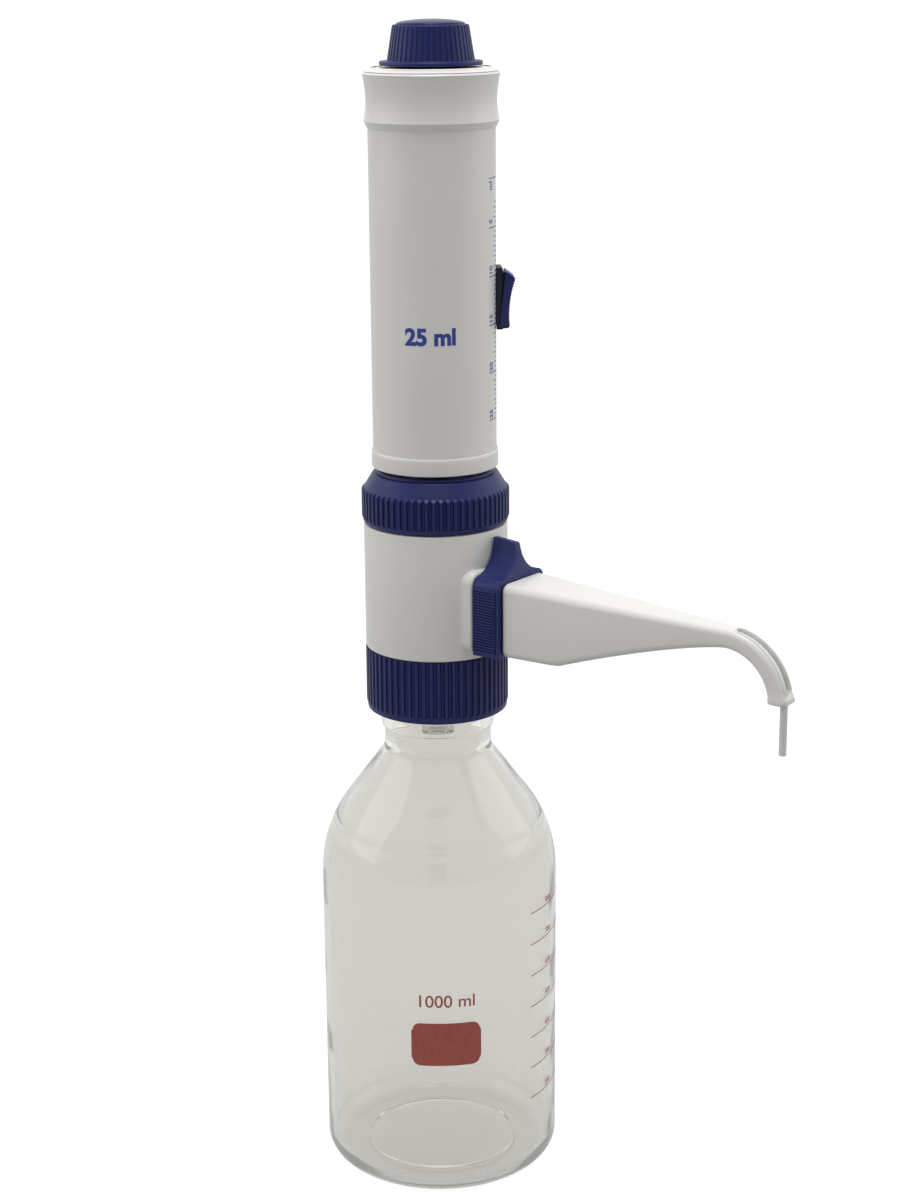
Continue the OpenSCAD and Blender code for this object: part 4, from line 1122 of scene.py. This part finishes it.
# %% Waisted head
head_low, head_top = low("sleeve_head"), high("sleeve_head")
head_r = high("sleeve_head", 1)
WAIST_R = head_r - 1.3
HEAD_SWELL = 0.95
HEAD_FACE_R = 22.8
HEAD_ROOF_T = 4
HEAD_HOLE_R = 4.55
HEAD_WALL_R = 23.7
HEAD_STEP = 3
rim_z = head_top - 2.4
waist_z = head_low + 10.5
roof_z = head_top - HEAD_ROOF_T
head_side = [(WAIST_R + HEAD_SWELL * (1 - i / 8) ** 1.8, mix(head_low + 2.7, waist_z, i / 8))
             for i in range(9)]
head_side += [(mix(WAIST_R, head_r, (i / 10) ** 1.7), mix(waist_z, rim_z - 0.4, i / 10))
              for i in range(1, 11)]
head = turned("sleeve_waisted_head", (
    [(sleeve_r + 0.05, head_low), (sleeve_r + 0.25, head_low), (WAIST_R + 0.75, head_low + 2.2)]
    + head_side + rounded([(head_r, rim_z + 0.3, 1.3), (HEAD_FACE_R, head_top, 1.8)], 6)
    + [(HEAD_HOLE_R, head_top), (HEAD_HOLE_R, roof_z), (HEAD_WALL_R, roof_z),
       (HEAD_WALL_R, head_low + HEAD_STEP), (sleeve_r + 0.05, head_low + HEAD_STEP)]), SLEEVE_SIDES)
fit(head, "piston", white_pp, "white_plastic", "sleeve_head")

# %% [markdown]
# The scale runs beside the slot, 3.872 mm to the millilitre, and its numbers read upwards. Ticks
# at every half, at every whole and at every fifth millilitre are three rows of one repeated
# film each, all ending at the slot.

# %% The sleeve's scale
SCALE_PITCH = 3.872
SCALE_UP = 60.9
scale_zero = low("slider_base") + SCALE_UP
TICK = 0.34
TICK_ANGLE = 30.2
for name, first, count, reach in (("half", 2.5, 23, 3.2), ("one", 3, 23, 4.6)):
    start = TICK_ANGLE - math.degrees(reach / sleeve_r)
    tick = patch("scale_ticks_" + name, sleeve_r, start, reach, scale_zero - first * SCALE_PITCH, TICK)
    repeated(tick, count, blue_ink, step=(0, 0, -SCALE_PITCH))
    fit(tick, "piston", blue_ink, "white_plastic")
MAJOR_ANGLE = 9.4
major_reach = math.radians(TICK_ANGLE - MAJOR_ANGLE) * sleeve_r
major = patch("scale_ticks_five", sleeve_r, MAJOR_ANGLE, major_reach, scale_zero - 5 * SCALE_PITCH, TICK)
repeated(major, 5, blue_ink, step=(0, 0, -5 * SCALE_PITCH))
fit(major, "piston", blue_ink, "white_plastic")
NUMBER_SIZE = 3.8
NUMBER_ANGLE = 13.2
NUMBER_UP = 2.6
NUMBER_BOLD = 0.06
for value in (5, 10, 15, 20, 25):
    number = lettering("scale_number_%d" % value, str(value), NUMBER_SIZE, sleeve_r, NUMBER_ANGLE,
                       scale_zero - value * SCALE_PITCH + NUMBER_UP, upright=False, bold=NUMBER_BOLD)
    fit(number, "piston", blue_ink, "white_plastic")

# %% The sleeve's unit and volume
UNIT_DOWN = 2.8
VOLUME_SIZE = 9.2
VOLUME_ANGLE = -55.0
VOLUME_Z = 366.0
VOLUME_BOLD = 0.38
unit_line = patch("scale_unit_line", sleeve_r, MAJOR_ANGLE, major_reach, scale_zero, TICK)
fit(unit_line, "piston", blue_ink, "white_plastic")
unit = lettering("scale_unit", "ml", NUMBER_SIZE, sleeve_r, NUMBER_ANGLE, scale_zero - UNIT_DOWN,
                 upright=False, bold=NUMBER_BOLD)
fit(unit, "piston", blue_ink, "white_plastic")
volume = lettering("sleeve_capacity", "25 ml", VOLUME_SIZE, sleeve_r, VOLUME_ANGLE, VOLUME_Z,
                   bold=VOLUME_BOLD)
fit(volume, "piston", blue_ink, "white_plastic")

# %% [markdown]
# ## The knob
# The knob is a small ribbed cone on a flange, with a polished cap sunk in its top. It could be
# turned and cut 46 times, but the fluted sector of the rings does it at once: its column follows
# the sloping side, and the grooves run out at the rim. The cap is a turned dome.

# %% Knob and cap
knob_low = low("top_knob")
knob_top = high("top_knob")
flange_r = high("top_knob", 1)
FLANGE_T = 1.7
KNOB_FOOT_R = 17.4
KNOB_RIM_R = 15.3
KNOB_FLUTES = 46
KNOB_GROOVE_W = 1.1
KNOB_GROOVE = 0.5
KNOB_IN_R = 12.2
KNOB_ROOF_T = 2.0
RIM_PROUD = 0.5
CAP_SINK = 1.2
CAP_GAP = 0.1
NEAR_AXIS = 0.01
rim_top = knob_top + RIM_PROUD
cap_r = high("knob_cap", 1)


def knob_column(d):
    """The knob's section, cut d deep along its side: flange, sloping side, rim and cap seat."""
    proud = 1 - d / KNOB_GROOVE
    seat_r, seat_z = cap_r + CAP_GAP, knob_top - CAP_SINK
    return rounded([
        (KNOB_IN_R, knob_low), (flange_r, knob_low, 0.5), (flange_r, knob_low + FLANGE_T, 0.7),
        (KNOB_FOOT_R - d, knob_low + FLANGE_T, 0.3), (KNOB_RIM_R - d * 0.8, rim_top - 0.9, 0.4),
        (KNOB_RIM_R - 0.7 + 0.3 * proud, rim_top, 0.4), (seat_r, rim_top, 0.15), (seat_r, seat_z),
        (NEAR_AXIS, seat_z), (NEAR_AXIS, seat_z - KNOB_ROOF_T), (KNOB_IN_R, seat_z - KNOB_ROOF_T)])


knob = fluted("knob_ribbed", KNOB_FLUTES, KNOB_FOOT_R, KNOB_GROOVE_W, KNOB_GROOVE, knob_column, navy_pp)
fit(knob, "knob", navy_pp, "navy_plastic", "top_knob")

# %% Polished cap
CAP_SIDE_UP = 0.7
CAP_DOME_H = 1.9
CAP_SIDES = 96
cap_low = low("knob_cap")
dome_turns = [math.pi / 2 * i / 12 for i in range(13)]
cap_dome = [(cap_r * math.sin(a), knob_top + CAP_SIDE_UP + CAP_DOME_H * math.cos(a)) for a in dome_turns]
cap = turned("knob_polished_cap", [(0, cap_low), (cap_r, cap_low)] + cap_dome[::-1], CAP_SIDES)
fit(cap, "knob", gloss_abs, "navy_gloss", "knob_cap")

# %% [markdown]
# ## The volume slider
# A dark saddle rides on the sleeve, with a frame round the core of the finger button. The button
# is a navy cap, dished for the fingertip, with fine teeth along its face and skirts down both
# sides of the frame. Each piece is drawn as if the slot faced along X, and then turned into
# place with its mesh, so that its object stays at the origin.

# %% Saddle and frame
at_slider = slider_turn @ Matrix.Translation((0, 0, slider_z))
SADDLE_IN = sleeve_r + 0.3
SADDLE_T = 0.9
SADDLE_H = 12.5
SLIDER_W = 6.5
SKIRT_T = 0.8
SLIDE_GAP = 0.3
FRAME_W = SLIDER_W - SKIRT_T - SLIDE_GAP
FRAME_T = 1.0
BUTTON_TRAVEL = 0.9
CORE_X = SADDLE_IN + SADDLE_T + BUTTON_TRAVEL + 0.1
CORE_W = FRAME_W - FRAME_T - SLIDE_GAP
CORE_H = 10.5
FRAME_X = CORE_X + 0.1
SKIRT_X = sleeve_r + BUTTON_TRAVEL
button_x = FRAME_X + BUTTON_TRAVEL + SLIDE_GAP


def saddle_section(z, inner_r, half_w, front):
    """The saddle's cross-section at one height: hollow towards the sleeve, flat in front."""
    reach = math.degrees(math.asin(half_w / inner_r))
    inner = arc(0, 0, inner_r, reach, -reach, 12)
    return [Vector((x, y, z)) for x, y in inner + [(front, -half_w), (front, half_w)]]


saddle = lofted("slider_saddle", [saddle_section(z, SADDLE_IN, FRAME_W, FRAME_X)
                                  for z in (-SADDLE_H, SADDLE_H)], at_slider)
pocket = lofted("pocket", [saddle_section(z, SADDLE_IN + SADDLE_T, CORE_W + SLIDE_GAP, FRAME_X + 2)
                           for z in (-CORE_H - SLIDE_GAP, CORE_H + SLIDE_GAP)], at_slider)
combine(saddle, pocket, "DIFFERENCE")
soften(saddle, 0.25, 2, 50)
fit(saddle, "slider", dark_nylon, "dark_plastic", "slider_base")

# %% Neck through the slot
NECK_W = SLOT_HALF - SLIDE_GAP
NECK_H = 9
NECK_CORNER_R = 0.5
neck_outline = rounded([(-NECK_W, -NECK_H, NECK_CORNER_R), (NECK_W, -NECK_H, NECK_CORNER_R),
                        (NECK_W, NECK_H, NECK_CORNER_R), (-NECK_W, NECK_H, NECK_CORNER_R)])
neck = lengthwise("slider_neck", neck_outline, sleeve_r - SLEEVE_T, SADDLE_IN + 0.4, at_slider)
fit(neck, "slider", dark_nylon, "dark_plastic")

# %% Core of the button
core_outline = rounded([(CORE_X, -CORE_H, 0.4), (button_x + 0.3, -CORE_H), (button_x + 0.3, CORE_H),
                        (CORE_X, CORE_H, 0.4)])
core = crosswise("button_core", core_outline, CORE_W, at_slider)
soften(core, 0.3, 2, 45)
fit(core, "button", dark_nylon, "dark_plastic")

# %% Finger cap
CAP_HALF_H = 12.0
DISH_R = 45.0
DISH_T = 1.3
DISH_Z = -7.0
TEETH = 17
TOOTH_OUT = 0.25
TOOTH_IN = 0.3


def dish(z):
    """Distance of the dished face from the plate's back, at height z."""
    return DISH_T + DISH_R - math.sqrt(DISH_R ** 2 - (z - DISH_Z) ** 2)


face_low, face_top = 0.7 - CAP_HALF_H, CAP_HALF_H - 4.3
teeth = []
for i in range(TEETH * 2 + 1):
    z = mix(face_low, face_top, i / (TEETH * 2))
    teeth.append((button_x + dish(z) + (TOOTH_OUT if i % 2 else -TOOTH_IN), z))
crest_x = button_x + dish(face_top)
cap_outline = teeth + rounded([
    (crest_x + 0.1, face_top + 0.5, 0.3), (crest_x - 1.5, CAP_HALF_H - 2.4, 0.6),
    (button_x, CAP_HALF_H - 0.9, 0.5), (SKIRT_X, 1 - CAP_HALF_H, 0.3),
    (SKIRT_X + 0.8, -CAP_HALF_H, 0.4), (button_x + 1.2, 0.3 - CAP_HALF_H, 0.4)])
finger_cap = crosswise("button_finger_cap", cap_outline, SLIDER_W, at_slider)
room = [(SKIRT_X - 5, -20), (button_x, -20), (button_x, 20), (SKIRT_X - 5, 20)]
combine(finger_cap, crosswise("room", room, SLIDER_W - SKIRT_T, at_slider), "DIFFERENCE")
soften(finger_cap, 0.15, 2, 60)
fit(finger_cap, "button", navy_pp, "navy_plastic")

# %% Plunger of the button
PLUNGER_R = 1.6
PLUNGER_IN_X = 21.2
round_turns = [2 * math.pi * j / 24 for j in range(24)]
plunger_outline = [(PLUNGER_R * math.cos(b), PLUNGER_R * math.sin(b)) for b in round_turns]
plunger = lengthwise("button_plunger", plunger_outline, PLUNGER_IN_X, CORE_X + 0.5, at_slider)
fit(plunger, "button", dark_nylon, "dark_plastic", "finger_button")

# %% [markdown]
# ## Inner pieces
# What shows only through glass, or when the dispenser is taken apart, keeps its CAD shape and
# gets the finish of the real material. The wetted pieces are fluoropolymer, glass and ceramic,
# because such a dispenser has to stand acids and solvents.

# %% Finishes of the inner pieces
inner = {
    silicone: ["bottle_gasket"],
    housing_pfa: ["intake_valve_housing"],
    ptfe: ["seat_ring", "valve_block", "intake_seat", "ball_cage", "cylinder_seal",
           "piston_head", "piston_rod", "discharge_seat", "discharge_fitting"],
    alumina: ["intake_ball", "discharge_ball"],
    borosilicate: ["glass_cylinder"],
    clear_pmp: ["guard_tube"],
    white_pp: ["stop_cap", "rod_nut", "slider_rack"],
    elastomer: ["piston_seal"],
    dark_nylon: ["pawl_plate"],
    wire: ["button_spring", "discharge_spring"],
}
for finish, names in inner.items():
    for name in names:
        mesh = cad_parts[name].data
        mesh.materials.clear()
        mesh.materials.append(finish)
print("inner pieces dressed:", sum(len(names) for names in inner.values()))

# %% [markdown]
# ## Floor, light and camera
# The photograph was taken in a light tent: white all round, soft light from both sides and from
# above, and a darker front, which is why the sides of the white parts are brighter than their
# middles. The object stands on a lit acrylic sheet, so its shadow is faint. The camera stands
# where the photograph's perspective puts it.

# %% Floor
FLOOR_HALF = 30.0
GLOW_UNSEEN = 0.46
GLOW_SEEN = 0.9
GLOW_LESS = -0.35
floor_mesh = bmesh.new()
bmesh.ops.create_grid(floor_mesh, x_segments=1, y_segments=1, size=FLOOR_HALF)
floor_data = bpy.data.meshes.new("floor")
floor_mesh.to_mesh(floor_data)
floor_mesh.free()
floor = linked("floor", floor_data)
sheet, sheet_tree, sheet_shader, _ = blank("lit_opal_acrylic_sheet")
sheet_shader.inputs["Base Color"].default_value = linear("#7C7C7C")
sheet_shader.inputs["Roughness"].default_value = 0.9
sheet_shader.inputs["Emission Color"].default_value = linear("#FFFFFF")
ray = add(sheet_tree, "ShaderNodeLightPath").outputs
seen = add(sheet_tree, "ShaderNodeMapRange",
           {"Value": ray["Is Camera Ray"], "To Min": GLOW_UNSEEN, "To Max": GLOW_SEEN})
# Light that the sheet throws up on matt surfaces is held back, or the undersides would glow.
glow = add(sheet_tree, "ShaderNodeMath",
           {0: ray["Is Diffuse Ray"], 1: GLOW_LESS, 2: seen.outputs["Result"]}, operation="MULTIPLY_ADD")
sheet_tree.links.new(glow.outputs["Value"], sheet_shader.inputs["Emission Strength"])
floor.data.materials.append(sheet)


# %% Softboxes
def softbox(name, spot, aim, size, power):
    """A square area light at spot, aimed at another point, in metres and watts."""
    data = bpy.data.lights.new(name, "AREA")
    data.size = size
    data.energy = power
    lamp = linked(name, data)
    lamp.location = spot
    lamp.rotation_mode = "QUATERNION"
    lamp.rotation_quaternion = (aim - spot).to_track_quat("-Z", "Y")
    print(name, power, "W from", [round(v, 2) for v in spot])


VIEW = math.radians(38)
to_camera = Vector((math.sin(VIEW), -math.cos(VIEW), 0))
to_right = Vector((math.cos(VIEW), math.sin(VIEW), 0))
middle = Vector((0, 0, 0.25))
up = Vector((0, 0, 1))
SIDE_OUT, SIDE_UP, SIDE_SIZE = 1.1, 0.45, 0.9
TOP_UP, TOP_SIZE = 1.2, 0.45
left_spot = middle - to_right * SIDE_OUT + to_camera * 0.1 + up * SIDE_UP
right_spot = middle + to_right * SIDE_OUT - to_camera * 0.1 + up * SIDE_UP
top_spot = middle + to_camera * 0.15 + up * TOP_UP
softbox("left_softbox", left_spot, middle, SIDE_SIZE, 2.1)
softbox("right_softbox", right_spot, middle, SIDE_SIZE, 1.7)
softbox("top_softbox", top_spot, middle, TOP_SIZE, 5.5)

# %% [markdown]
# The tent itself is the world. Its strength follows the direction of a ray: nearly full behind
# the object, and under half of that in front, where the photographer's side of the tent is open.

# %% Light tent
TENT_BACK = 0.95
TENT_FRONT = 0.38
world = bpy.data.worlds.new("light_tent")
world.use_nodes = True
sky_tree = world.node_tree
ray_way = add(sky_tree, "ShaderNodeTexCoord").outputs["Generated"]
front_way = (to_camera - up * 0.5).normalized()
frontness = add(sky_tree, "ShaderNodeVectorMath", {0: ray_way, 1: front_way}, operation="DOT_PRODUCT")
tent = add(sky_tree, "ShaderNodeMapRange", {"Value": frontness.outputs["Value"],
                                            "From Min": -0.5, "From Max": 0.8,
                                            "To Min": TENT_BACK, "To Max": TENT_FRONT})
backdrop = sky_tree.nodes["Background"]
backdrop.inputs["Color"].default_value = linear("#FFFFFF")
sky_tree.links.new(tent.outputs["Result"], backdrop.inputs["Strength"])
bpy.context.scene.world = world
bpy.context.scene.view_settings.view_transform = "Standard"

# %% [markdown]
# The camera's place, angles and focal length were worked out from the outline of the bottle and
# from the ellipses of its rings. Distances are in metres from the bottle's axis and foot.

# %% Camera
CAMERA_OUT = 0.91818
CAMERA_UP = 0.51067
PITCH = math.radians(15.7716)
YAW = math.radians(0.3518)
ROLL = math.radians(-0.5123)
FOCAL_PX = 2273.25
IMAGE_H_PX = 1200
SENSOR_MM = 36.0
forward = Vector((math.sin(YAW) * math.cos(PITCH), math.cos(YAW) * math.cos(PITCH), -math.sin(PITCH)))
level = Vector((math.cos(YAW), -math.sin(YAW), 0))
upward = level.cross(forward)
right = level * math.cos(ROLL) + upward * math.sin(ROLL)
top = upward * math.cos(ROLL) - level * math.sin(ROLL)
facing = Matrix((right, top, -forward)).transposed()
lens = bpy.data.cameras.new("camera")
lens.lens = FOCAL_PX * SENSOR_MM / IMAGE_H_PX
lens.sensor_width = SENSOR_MM
lens.clip_start = 0.01
camera = linked("camera", lens)
camera.matrix_world = (Matrix.Rotation(VIEW, 4, "Z")
                       @ Matrix.Translation((0, -CAMERA_OUT, CAMERA_UP)) @ facing.to_4x4())
bpy.context.scene.camera = camera
print("camera lens", round(lens.lens, 2), "mm")
